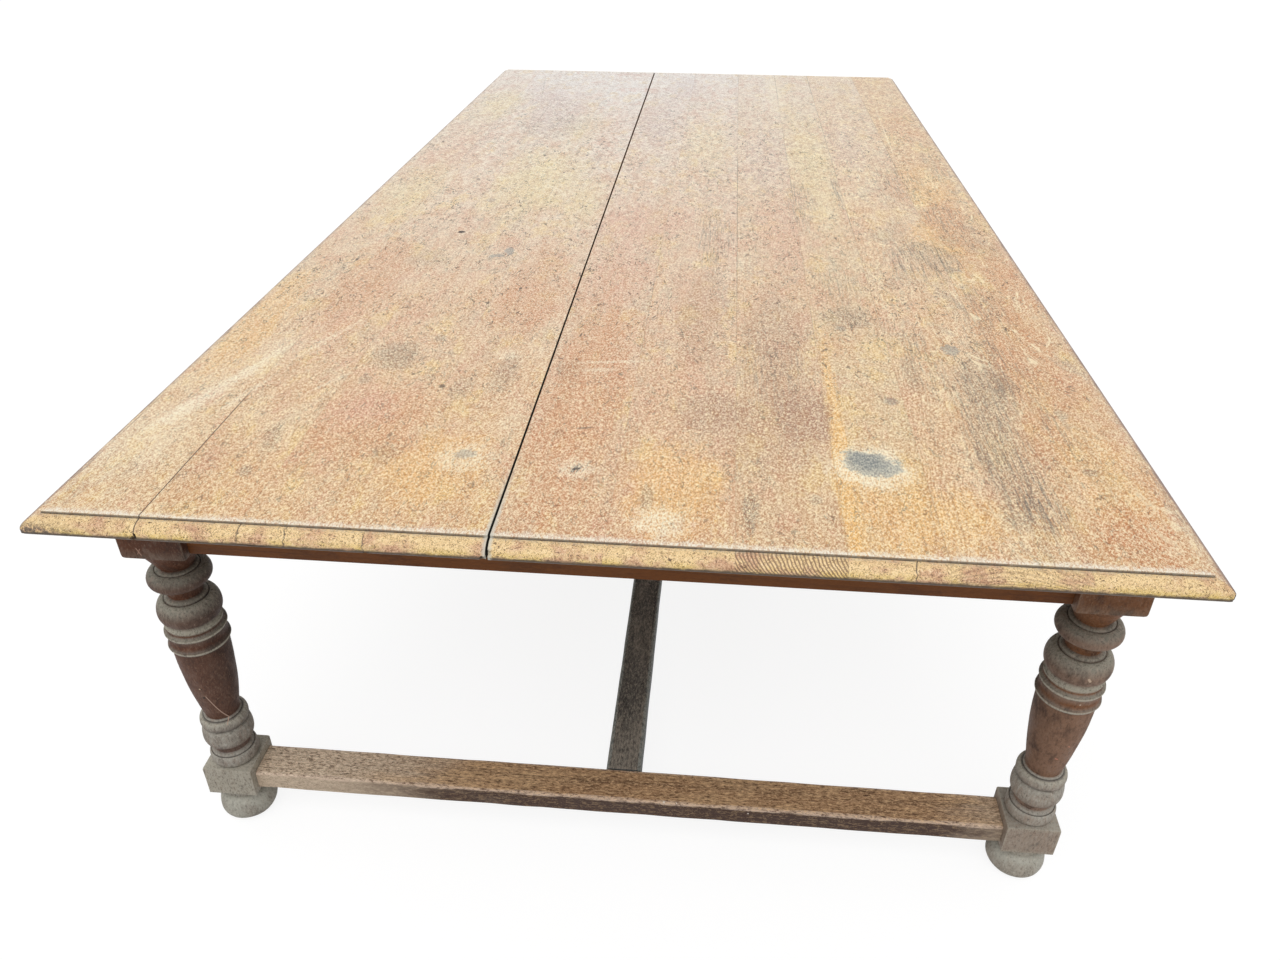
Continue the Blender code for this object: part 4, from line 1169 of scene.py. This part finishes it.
CHIPS = (
    Chip(1, (-0.5955, -1.5290, 0.7590), (0.0040, 0.0045, 0.0040), 20),
    Chip(2, (-0.5930, -1.5280, 0.7630), (0.0022, 0.0040, 0.0045), -15),
    Chip(3, (-0.4400, -1.5295, 0.7588), (0.0260, 0.0016, 0.0009), 3),
    Chip(4, (-0.2960, -1.5295, 0.7575), (0.0040, 0.0030, 0.0022)),
    Chip(4, (-0.1475, -1.5290, 0.7585), (0.0065, 0.0045, 0.0045), -25),
    Chip(5, (-0.1400, -1.5280, 0.7670), (0.0030, 0.0045, 0.0050), 30),
    Chip(10, (0.7465, -1.5290, 0.7620), (0.0050, 0.0050, 0.0080), 10),
    Chip(1, (-0.7465, -1.3000, 0.7560), (0.0030, 0.0100, 0.0030)),
)


@dataclass
class PlankTop:
    """The top: ten boards in two glued panels, cut from one moulded form."""

    half_width: float = 0.74649
    half_length: float = 1.52899
    height: float = 0.780
    thickness: float = 0.024
    moulding: float = 0.0214
    rim: tuple[tuple[float, float], ...] = ((0.0012, 0.0), (0.0003, 0.0004), (0.0, 0.0014))
    step: float = 0.0037
    ledge: float = 0.0012
    upright: float = 0.0050
    undercut: float = 0.0016
    curve_steps: int = 12
    corner_radius: float = 0.0035
    corner_drop: float = 0.0004
    corner_reach: float = 0.02
    arris: float = 0.0002
    arris_clear: float = 0.01
    joint_gap: float = 0.00008
    open_gap: float = 0.0026
    joints: tuple[Joint, ...] = (
        Joint(-0.5942, -0.5942, 0.10, 0.95), Joint(-0.4613, -0.4613, 0.15), Joint(-0.3001, -0.3001, 0.12),
        Joint(-0.1430, -0.1571, stands_open=True), Joint(0.0, 0.0, 0.15), Joint(0.1612, 0.1612, 0.30),
        Joint(0.2971, 0.2971, 0.30, 0.12), Joint(0.4180, 0.4180, 0.40, 0.1), Joint(0.5838, 0.5838, 0.2),
    )

    def edge_line(self) -> list[tuple[float, float]]:
        """Draws the moulding, from the top face down to the underside.

        Returns:
            Its points, each an inset and a height.
        """
        under = self.height - self.thickness
        round_top = self.height - self.step
        round_foot = under + self.undercut + self.upright
        line = [(self.moulding + inset, self.height - drop) for inset, drop in self.rim]
        line.append((self.moulding, round_top))
        for step in range(self.curve_steps + 1):
            angle = math.pi / 2 * (1 - step / self.curve_steps)
            inset = (self.moulding - self.ledge) * (1 - math.cos(angle))
            line.append((inset, round_foot + (round_top - round_foot) * math.sin(angle)))
        return line + [(0.0, under + self.undercut), (self.undercut, under)]

    def is_corner(self, edge: bmesh.types.BMEdge) -> bool:
        """Tells whether an edge runs down one of the form's four corners, below the step.

        Args:
            edge: the edge.

        Returns:
            True if it does.
        """
        low = all(v.co.z < self.height - self.step - self.corner_drop for v in edge.verts)
        outside = all(abs(abs(v.co.x) - self.half_width) < self.corner_reach for v in edge.verts)
        return low and outside and abs(edge.verts[0].co.z - edge.verts[1].co.z) > CLOSE

    def is_arris(self, edge: bmesh.types.BMEdge) -> bool:
        """Tells whether an edge is the arris of a board beside a joint.

        Args:
            edge: the edge.

        Returns:
            True if it is.
        """
        on_top = all(v.co.z > self.height - CLOSE for v in edge.verts)
        inset = min(self.half_width - abs(v.co.x) for v in edge.verts)
        return on_top and abs(run_of(edge).y) > 0.99 and inset > self.moulding + self.arris_clear

    def form(self) -> bmesh.types.BMesh:
        """Makes the whole top as one slab with its moulded edge.

        Returns:
            The slab.
        """
        line = self.edge_line()
        bm = bmesh.new()
        bmesh.ops.create_grid(bm, x_segments=1, y_segments=1, size=1.0)
        inset, level = line[0]
        bmesh.ops.scale(bm, vec=(self.half_width - inset, self.half_length - inset, 1), verts=bm.verts)
        bmesh.ops.translate(bm, vec=(0, 0, level), verts=bm.verts)
        face = bm.faces[:][0]
        for number, (following, below) in enumerate(line[1:]):
            made = bmesh.ops.extrude_face_region(bm, geom=[face])["geom"]
            verts = [item for item in made if isinstance(item, bmesh.types.BMVert)]
            if number:
                bmesh.ops.delete(bm, geom=[face], context="FACES_ONLY")
            face = next(item for item in made if isinstance(item, bmesh.types.BMFace))
            wide = (self.half_width - following) / (self.half_width - inset)
            long = (self.half_length - following) / (self.half_length - inset)
            bmesh.ops.scale(bm, vec=(wide, long, 1), verts=verts)
            bmesh.ops.translate(bm, vec=(0, 0, below - level), verts=verts)
            inset, level = following, below
        soften(bm, [edge for edge in bm.edges if self.is_corner(edge)], self.corner_radius, 3)
        bmesh.ops.recalc_face_normals(bm, faces=bm.faces)
        return bm

    def cut(self, bm: bmesh.types.BMesh, joint: Joint, keep_left: bool) -> None:
        """Saws the form along a joint and closes the sawn face.

        Args:
            bm: the mesh to saw.
            joint: the joint.
            keep_left: True to keep what lies to the left of the joint.
        """
        gap = self.open_gap if joint.stands_open else self.joint_gap
        side = -1 if keep_left else 1
        point = Vector(((joint.near + joint.far) / 2 + side * gap / 2, 0, 0))
        across = Vector((2 * self.half_length, joint.near - joint.far, 0)).normalized()
        cut = bmesh.ops.bisect_plane(
            bm, geom=bm.verts[:] + bm.edges[:] + bm.faces[:], plane_co=point, plane_no=across,
            clear_outer=keep_left, clear_inner=not keep_left,
        )["geom_cut"]
        bmesh.ops.edgeloop_fill(bm, edges=[item for item in cut if isinstance(item, bmesh.types.BMEdge)])

    def build(self) -> None:
        """Makes the ten boards and dresses them."""
        finish = WornTop(self.half_width, self.half_length)
        form = self.form()
        for number, look in enumerate(BOARD_LOOKS, start=1):
            bm = form.copy()
            own = []
            for index, keep_left in ((number - 2, False), (number - 1, True)):
                if 0 <= index < len(self.joints):
                    self.cut(bm, self.joints[index], keep_left)
                    own.append(self.joints[index])
            soften(bm, [edge for edge in bm.edges if self.is_arris(edge)], self.arris, 1)
            material = finish.material(number, look, own)
            board = as_piece(f"board_{number}", bm, material, f"top_board_{number}")
            for chip in CHIPS:
                if chip.board == number:
                    chip.break_out(board)
        form.free()


Station = tuple[float, float, Bend, Wear]
TurnedPoint = tuple[float, float, tuple[float, ...]]
S, B, H = Bend.STRAIGHT, Bend.BULGE, Bend.HOLLOW

UPPER_TURNING: tuple[Station, ...] = (
    (48.5, 603, S, Wear.RED), (29.0, 566, H, Wear.RED), (26.5, 561, S, Wear.RED), (32.5, 558, S, Wear.DUSTY),
    (33.8, 556, S, Wear.GROOVE), (35.5, 557, B, Wear.DUSTY), (48.7, 541, B, Wear.BROWN),
    (37.5, 528.5, H, Wear.BROWN), (27.0, 513, S, Wear.RED), (26.5, 506, S, Wear.RED),
    (32.5, 502, S, Wear.DUSTY), (34.0, 498.5, S, Wear.GROOVE), (36.0, 499.5, B, Wear.PALE_DUST),
    (49.5, 477, B, Wear.BROWN), (42.0, 460.5, H, Wear.BROWN), (41.5, 457, H, Wear.DUSTY),
    (45.0, 451.5, S, Wear.ARRIS), (43.5, 445, H, Wear.RED), (48.2, 439, S, Wear.DUSTY),
    (48.6, 436.5, S, Wear.ARRIS), (46.0, 432, S, Wear.BROWN), (45.0, 421, H, Wear.RED),
    (48.4, 412.5, S, Wear.BROWN), (49.0, 409.5, S, Wear.ARRIS), (47.0, 405.5, S, Wear.BROWN),
    (44.8, 403.5, S, Wear.VASE),
)
LOWER_TURNING: tuple[Station, ...] = (
    (31.2, 244.5, S, Wear.GREY), (32.2, 243.0, S, Wear.GREY_GROOVE), (36.0, 241.5, B, Wear.GREY_ARRIS),
    (40.4, 231, B, Wear.GREY), (35.5, 221.5, S, Wear.GREY_GROOVE), (36.5, 219.5, B, Wear.GREY),
    (42.4, 198, B, Wear.GREY), (34.5, 181, H, Wear.BROWN), (30.0, 172, S, Wear.BROWN),
    (30.0, 166, S, Wear.BROWN), (35.0, 162.5, S, Wear.GREY), (36.5, 160, S, Wear.GREY_GROOVE),
    (37.5, 160.5, B, Wear.GREY), (40.7, 148, B, Wear.GREY), (35.0, 134.8, S, Wear.GREY),
)
FOOT_TURNING: tuple[Station, ...] = (
    (37.5, 74.2, H, Wear.GREY), (33.8, 61, S, Wear.GREY), (35.0, 55, B, Wear.GREY),
    (49.3, 24, B, Wear.GREY), (26.0, 0, S, Wear.GREY),
)
ATTRIBUTES = ("pale", "dark", "red", "grey", "shade")
LEAST_STEPS = 7
STEP_LENGTH = 3.0


def turning_line(stations: tuple[Station, ...]) -> list[TurnedPoint]:
    """Fills in the bends between a turning's stations.

    Args:
        stations: radius and height in millimetres, the bend to the next station, and the wear.

    Returns:
        Radius, height and wear shares of every point, in metres.
    """
    points = [(stations[0][0] * MM, stations[0][1] * MM, stations[0][3].value)]
    for (r0, z0, bend, worn0), (r1, z1, _, worn1) in zip(stations, stations[1:]):
        length = math.hypot(r1 - r0, z1 - z0)
        steps = max(1 if bend is S else LEAST_STEPS, round(length / STEP_LENGTH))
        outward = (r1 > r0) == (bend is B)
        for step in range(1, steps + 1):
            share = step / steps
            quick, slow = math.sin(math.pi / 2 * share), 1 - math.cos(math.pi / 2 * share)
            down, out = (slow, quick) if outward else (quick, slow)
            if bend is S:
                down, out = share, share
            worn = tuple(a + (b - a) * share for a, b in zip(worn0.value, worn1.value))
            points.append(((r0 + (r1 - r0) * out) * MM, (z0 + (z1 - z0) * down) * MM, worn))
    return points


@dataclass
class Turning:
    """A piece turned about the upright axis of one of the frame's four corners."""

    name: str
    side: int
    end: int
    centre_x: float = 0.6915
    centre_y: float = 1.3275
    sides: int = 96
    sharp: float = 38.0
    axis_clear: float = 0.01

    def spin(self, points: list[TurnedPoint]) -> bmesh.types.BMesh:
        """Turns a line about the vertical axis into a closed piece with its wear in attributes.

        Args:
            points: radius, height and wear shares, from the top down.

        Returns:
            The mesh, about its own axis.
        """
        bm = bmesh.new()
        layers = [bm.verts.layers.float.new(name) for name in ATTRIBUTES]
        verts = []
        for radius, height, worn in points:
            vert = bm.verts.new((radius, 0, height))
            for layer, value in zip(layers, (*worn, 0.0)):
                vert[layer] = value
            verts.append(vert)
        edges = [bm.edges.new(pair) for pair in zip(verts, verts[1:])]
        bmesh.ops.spin(
            bm, geom=verts + edges, cent=(0, 0, 0), axis=(0, 0, 1), angle=math.tau, steps=self.sides,
            use_merge=True,
        )
        bmesh.ops.remove_doubles(bm, verts=bm.verts, dist=CLOSE)
        return bm

    def stand(self, bm: bmesh.types.BMesh, material: bpy.types.Material, slot: str) -> None:
        """Stands the finished mesh at its corner, as a piece.

        Args:
            bm: the mesh, about its own axis.
            material: its material.
            slot: not used.
        """
        place = (self.side * self.centre_x, self.end * self.centre_y, 0)
        bmesh.ops.translate(bm, vec=place, verts=bm.verts)
        as_piece(f"worn_{self.name}", bm, material, self.name, self.sharp)


@dataclass
class TurnedLeg(Turning):
    """A leg: a square upper block, a turned length with a vase, and a smaller square lower block."""

    upper_block: float = 0.099
    lower_block: float = 0.0865
    top: float = 0.7557
    turned_top: float = 0.603
    turned_bottom: float = 0.1348
    block_bottom: float = 0.0742
    upper_cut: float = 0.006
    lower_cut: float = 0.003
    block_arris: float = 0.0013
    block_band: float = 0.003
    block_levels: int = 8
    rubbed_band: float = 0.0025
    let_in: float = 0.004
    vase_top: tuple[float, float] = (44.5, 402.5)
    vase_foot: tuple[float, float] = (28.3, 246.0)
    vase_power: float = 1.95
    vase_steps: int = 48
    rub: float = 0.0005
    dent: float = 0.0002

    def block(
        self, bm: bmesh.types.BMesh, size: float, low: float, high: float, cut: float, worn: Wear
    ) -> None:
        """Adds a square block with worn arrises and cut corners.

        Args:
            bm: the mesh to add it to.
            size: its width.
            low: its lower end.
            high: its upper end.
            cut: how wide its rubbed corners are.
            worn: what its surface is like.
        """
        part = bmesh.new()
        for name in ATTRIBUTES:
            part.verts.layers.float.new(name)
        bmesh.ops.create_cube(part, size=1.0)
        bmesh.ops.scale(part, vec=(size, size, high - low), verts=part.verts)
        bmesh.ops.translate(part, vec=(0, 0, (high + low) / 2), verts=part.verts)
        is_upper = low > self.turned_bottom
        ends = [v for v in part.verts if (v.co.z < (high + low) / 2) == is_upper]
        soften(part, ends, cut, kind="VERTICES")
        soften(part, part.edges[:], self.block_arris)
        half = size / 2
        levels = range(1, self.block_levels)
        slices = [Vector((0, 0, low + (high - low) * level / self.block_levels)) for level in levels]
        slices += [Vector((side * (half - self.block_band), 0, 0)) for side in (-1, 1)]
        slices += [Vector((0, side * (half - self.block_band), 0)) for side in (-1, 1)]
        for point in slices:
            score(part, point, point.normalized())
        for vert in part.verts:
            x, y, z = vert.co
            outer = sorted((half - abs(x), half - abs(y), z - low, high - z))
            shares = [*worn.value, 0.0]
            if outer[1] < self.rubbed_band:
                shares[0] = max(shares[0], 0.15 + 0.6 * shares[3])
            for name, value in zip(ATTRIBUTES, shares):
                vert[part.verts.layers.float.get(name)] = value
        mesh = write_mesh("block", part)
        bm.from_mesh(mesh)
        bpy.data.meshes.remove(mesh)

    def build(self, material: bpy.types.Material) -> None:
        """Makes the leg.

        Args:
            material: the turned pieces' material.
        """
        (top_radius, top_height), (foot_radius, foot_height) = self.vase_top, self.vase_foot
        vase = []
        for step in range(self.vase_steps + 1):
            share = step / self.vase_steps
            radius = top_radius + (foot_radius - top_radius) * share**self.vase_power
            height = top_height + (foot_height - top_height) * share
            vase.append((radius * MM, height * MM, Wear.VASE.value))
        line = turning_line(UPPER_TURNING) + vase + turning_line(LOWER_TURNING)
        first, last = line[0], line[-1]
        head, foot = first[1] + self.let_in, last[1] - self.let_in
        line = [(0, head, first[2]), (first[0] * 0.9, head, first[2]), *line]
        line += [(last[0], foot, last[2]), (0, foot, last[2])]
        bm = self.spin(line)
        self.block(bm, self.upper_block, self.turned_top, self.top, self.upper_cut, Wear.RED)
        lower = Wear.LIGHT_BLOCK if self.side < 0 else Wear.DARK_BLOCK
        self.block(bm, self.lower_block, self.block_bottom, self.turned_bottom, self.lower_cut, lower)
        self.wear_down(bm)
        self.stand(bm, material, "leg")

    def wear_down(self, bm: bmesh.types.BMesh) -> None:
        """Rubs the surface unevenly, by up to half a millimetre, and shades its inner side.

        Args:
            bm: the leg's mesh, about its own axis.
        """
        shade = bm.verts.layers.float["shade"]
        outside = Vector((self.side * 0.8, self.end * 0.6, 0))
        for vert in bm.verts:
            place = vert.co * 22 + Vector((self.side * 7, self.end * 5, 0))
            rub = self.rub * max(0.0, 0.5 + noise.noise(place)) + self.dent * abs(noise.noise(place * 5))
            out = Vector((vert.co.x, vert.co.y, 0))
            if out.length > self.axis_clear:
                vert.co -= out.normalized() * rub
                inward = 0.5 - 0.5 * out.normalized().dot(outside) + 0.15 * noise.noise(place)
                high = min(1.0, max(0.25, (vert.co.z - 0.1) / 0.3)) * (1.0 if self.side < 0 else 0.6)
                vert[shade] = min(1.0, max(0.0, (inward - 0.25) / 0.6)) * high


@dataclass
class BunFoot(Turning):
    """A bun foot under a leg."""

    top: float = 0.0739
    crown: float = 0.0003
    floor_clear: float = 0.0005
    rub: float = 0.0010

    def build(self, material: bpy.types.Material) -> None:
        """Makes the foot.

        Args:
            material: the turned pieces' material.
        """
        line = turning_line(FOOT_TURNING)
        head, tail = (0, line[0][1] - self.crown, line[0][2]), (0, 0, line[-1][2])
        bm = self.spin([head, *((radius, min(z, self.top), worn) for radius, z, worn in line), tail])
        for vert in bm.verts:
            out = Vector((vert.co.x, vert.co.y, 0))
            if out.length > self.axis_clear and vert.co.z > self.floor_clear:
                place = vert.co * 30 + Vector((self.side * 3, self.end * 9, 2))
                vert.co -= out.normalized() * self.rub * max(0.0, 0.4 + noise.noise(place))
        self.stand(bm, material, "foot")


@dataclass
class WornBar:
    """A straight bar between two shoulders, with rubbed arrises and a slightly uneven face."""

    name: str
    slot: str
    low: Point
    high: Point
    long_axis: int
    arris: float
    lower_arris: float = 0.0015
    side_band: float = 0.0015
    low_band: float = 0.003
    high_band: float = 0.0012
    every: float = 0.03
    rub: float = 0.0006
    dent: float = 0.0004

    def blank(self) -> bmesh.types.BMesh:
        """Makes the bar with its rounded arrises, scored finely enough to be worn.

        Returns:
            The mesh.
        """
        low, high = Vector(self.low), Vector(self.high)
        bm = bmesh.new()
        bm.verts.layers.float.new("worn")
        bmesh.ops.create_cube(bm, size=1.0)
        bmesh.ops.scale(bm, vec=high - low, verts=bm.verts)
        bmesh.ops.translate(bm, vec=(high + low) / 2, verts=bm.verts)
        along, across = Vector((0, 0, 0)), Vector((0, 0, 0))
        along[self.long_axis] = across[1 - self.long_axis] = 1
        long_edges = [e for e in bm.edges if abs(run_of(e).dot(along)) > 0.9]
        upper = [e for e in long_edges if all(v.co.z > (low.z + high.z) / 2 for v in e.verts)]
        lower = [e for e in long_edges if e not in upper]
        soften(bm, upper, self.arris, 3)
        soften(bm, [e for e in lower if e.is_valid], self.lower_arris)
        length = high[self.long_axis] - low[self.long_axis]
        count = int(length / self.every)
        for step in range(1, count):
            point = low.copy()
            point[self.long_axis] += length * step / count
            score(bm, point, along)
        inset = self.arris + self.side_band
        for side, distance in ((low, inset), (high, -inset)):
            point = side.copy()
            point[1 - self.long_axis] += distance
            score(bm, point, across)
        for level in (low.z + self.low_band, high.z - self.arris - self.high_band):
            score(bm, (0, 0, level), (0, 0, 1))
        return bm

    def build(self, material: bpy.types.Material) -> None:
        """Makes the bar and wears it.

        Args:
            material: the bar's material.
        """
        bm = self.blank()
        low, high = Vector(self.low), Vector(self.high)
        middle, across, reach = (low + high) / 2, 1 - self.long_axis, self.arris * 1.05
        worn = bm.verts.layers.float["worn"]
        for vert in bm.verts:
            place = vert.co * 14
            rub = self.rub * max(0.0, 0.35 + noise.noise(place))
            rub += self.dent * max(0.0, noise.noise(place * 4))
            for index in (across, 2):
                vert.co[index] += rub if vert.co[index] < middle[index] else -rub
            out = min(vert.co[across] - low[across], high[across] - vert.co[across])
            vert[worn] = 1.0 if high.z - vert.co.z < reach and out < reach else 0.0
        as_piece(f"worn_{self.name}", bm, material, self.name, 40.0)


@dataclass
class Frame:
    """The legs, feet, stretchers and the solids that keep their own shape."""

    bar_low: float = 0.0813
    bar_high: float = 0.1178
    cross_half: float = 0.64795
    cross_inner: float = 1.29015
    cross_outer: float = 1.35715
    cross_arris: float = 0.005
    long_half: float = 1.28985
    long_half_width: float = 0.0312
    long_arris: float = 0.006

    def build(self) -> None:
        """Makes every piece below the top."""
        ends, sides = ((-1, "near"), (1, "far")), ((-1, "left"), (1, "right"))
        left = OldStain("old_stain_left", nicks=LEFT_NICKS)
        right = OldStain("old_stain_right", tint(142, 118, 102), tint(120, 78, 48), nicks=RIGHT_NICKS)
        turned = {-1: left.material(), 1: right.material()}
        for end, end_name in ends:
            for side, side_name in sides:
                TurnedLeg(f"leg_{end_name}_{side_name}", side, end).build(turned[side])
                BunFoot(f"foot_{end_name}_{side_name}", side, end).build(turned[side])
        cross = BarFinish(
            "golden_stretcher", "X", tint(168, 132, 98), tint(224, 188, 144), tint(76, 54, 42),
            tint(68, 50, 43), 0.85, tint(222, 200, 174), tint(206, 182, 162), BAR_NICKS,
        ).material()
        for end, name in ends:
            low_y, high_y = sorted((end * self.cross_inner, end * self.cross_outer))
            low, high = (-self.cross_half, low_y, self.bar_low), (self.cross_half, high_y, self.bar_high)
            WornBar(f"end_stretcher_{name}", "end_stretcher", low, high, 0, self.cross_arris).build(cross)
        long = BarFinish(
            "dark_stretcher", "Y", tint(98, 94, 88), tint(166, 156, 142), tint(44, 42, 40), tint(88, 92, 92),
            0.7, rubbed=tint(140, 146, 142),
        ).material()
        low = (-self.long_half_width, -self.long_half, self.bar_low)
        high = (self.long_half_width, self.long_half, self.bar_high)
        WornBar("centre_stretcher", "centre_stretcher", low, high, 1, self.long_arris).build(long)
        self.dress_solids()

    def dress_solids(self) -> None:
        """Gives the solids that keep their shape their own finishes."""
        stain = (tint(112, 66, 30), tint(146, 92, 48), tint(70, 40, 22), tint(112, 66, 30))
        bare = (tint(146, 112, 80), tint(176, 140, 102), tint(104, 76, 54), tint(146, 112, 80))
        dirty = (tint(62, 48, 38), tint(92, 76, 62), tint(38, 30, 24), tint(62, 48, 38))
        steel = (tint(96, 92, 88), tint(132, 126, 118), tint(70, 50, 38), tint(96, 92, 88))
        kinds = (
            ("end_rail", "end_rail_stain", "X", stain), ("side_rail", "side_rail_stain", "Y", stain),
            ("cross_bearer", "bare_cross_wood", "X", bare), ("button", "bare_inner_wood", "Y", bare),
            ("loose_tongue", "bare_tongue_wood", "Y", dirty), ("screw", "old_steel", "Z", steel),
        )
        finishes = {start: BarFinish(name, axis, *tones).material() for start, name, axis, tones in kinds}
        for name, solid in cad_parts.items():
            for start, material in finishes.items():
                if name.startswith(start):
                    solid.data.materials.clear()
                    solid.data.materials.append(material)
                    LOG.info("%s keeps its solid, in %s", name, material.name)


@dataclass
class Studio:
    """The floor, the light and the camera."""

    lens: float = 27.514
    sensor: float = 36.0
    location: Point = (0.1237, -2.470, 1.4934)
    pitch: float = -32.606
    yaw: float = 5.809
    roll: float = -3.418
    clip_end: float = 200.0
    floor_size: float = 60.0
    floor_light: Colour = tint(212, 212, 212)
    floor_dull: Colour = tint(208, 208, 208)
    floor_seen: Colour = tint(120, 120, 120)
    floor_rough: float = 0.9
    floor_glow: float = 0.86
    sky_light: float = 0.72
    sky_seen: float = 1.0
    lamp_energy: float = 1.05
    lamp_spread: float = 45.0
    lamp_turn: tuple[float, float] = (28.0, -8.0)

    def build(self) -> None:
        """Makes the studio round the table."""
        self.floor()
        self.light()
        self.camera()

    def floor(self) -> None:
        """Lays a plain pale floor that shows white and keeps the table's shadow."""
        bm = bmesh.new()
        bmesh.ops.create_grid(bm, x_segments=1, y_segments=1, size=self.floor_size)
        floor = put_in_scene("floor", write_mesh("floor", bm))
        shader = Shader("pale_floor")
        inputs = shader.surface.inputs
        pale = shader.mix(self.floor_dull, self.floor_light, shader.noise((3, 3, 3)))
        seen = shader.seen()
        inputs["Roughness"].default_value = self.floor_rough
        inputs["Specular IOR Level"].default_value = 0.0
        inputs["Emission Color"].default_value = (1, 1, 1, 1)
        shader.feed(inputs["Base Color"], shader.mix(pale, self.floor_seen, seen))
        shader.feed(inputs["Emission Strength"], shader.product(seen, self.floor_glow))
        floor.data.materials.append(shader.material)

    def light(self) -> None:
        """Sets a soft even sky and one wide soft lamp from the front."""
        world = bpy.data.worlds.new("soft_sky")
        bpy.context.scene.world = world
        world.use_nodes = True
        sky = world.node_tree.nodes["Background"]
        sky.inputs[0].default_value = (1, 1, 1, 1)
        work = NodeWork(world.node_tree)
        level = work.add("ShaderNodeMapRange")
        work.feed(level.inputs[0], work.seen())
        level.inputs[3].default_value = self.sky_light
        level.inputs[4].default_value = self.sky_seen
        work.feed(sky.inputs[1], level.outputs[0])
        lamp = bpy.data.lights.new("wide_lamp", "SUN")
        lamp.energy = self.lamp_energy
        lamp.angle = math.radians(self.lamp_spread)
        tilt, turn = (math.radians(a) for a in self.lamp_turn)
        put_in_scene("wide_lamp", lamp).rotation_euler = Euler((tilt, 0, turn))

    def camera(self) -> None:
        """Sets the camera at the angle of the view to be matched."""
        data = bpy.data.cameras.new("camera")
        data.lens = self.lens
        data.sensor_width = self.sensor
        data.sensor_fit = "HORIZONTAL"
        data.clip_end = self.clip_end
        camera = put_in_scene("camera", data)
        angles = [math.radians(a) for a in (self.pitch, self.roll, self.yaw)]
        turn = Euler(angles, "ZXY").to_matrix() @ Matrix.Rotation(math.radians(90), 3, "X")
        camera.matrix_world = Matrix.Translation(self.location) @ turn.to_4x4()
        bpy.context.scene.camera = camera


def main() -> None:
    """Builds the table and its studio."""
    logging.basicConfig(level=logging.INFO, format="%(name)s: %(message)s")
    PlankTop().build()
    Frame().build()
    Studio().build()
    bpy.context.scene.view_settings.view_transform = "Standard"


if __name__ == "__main__":
    main()
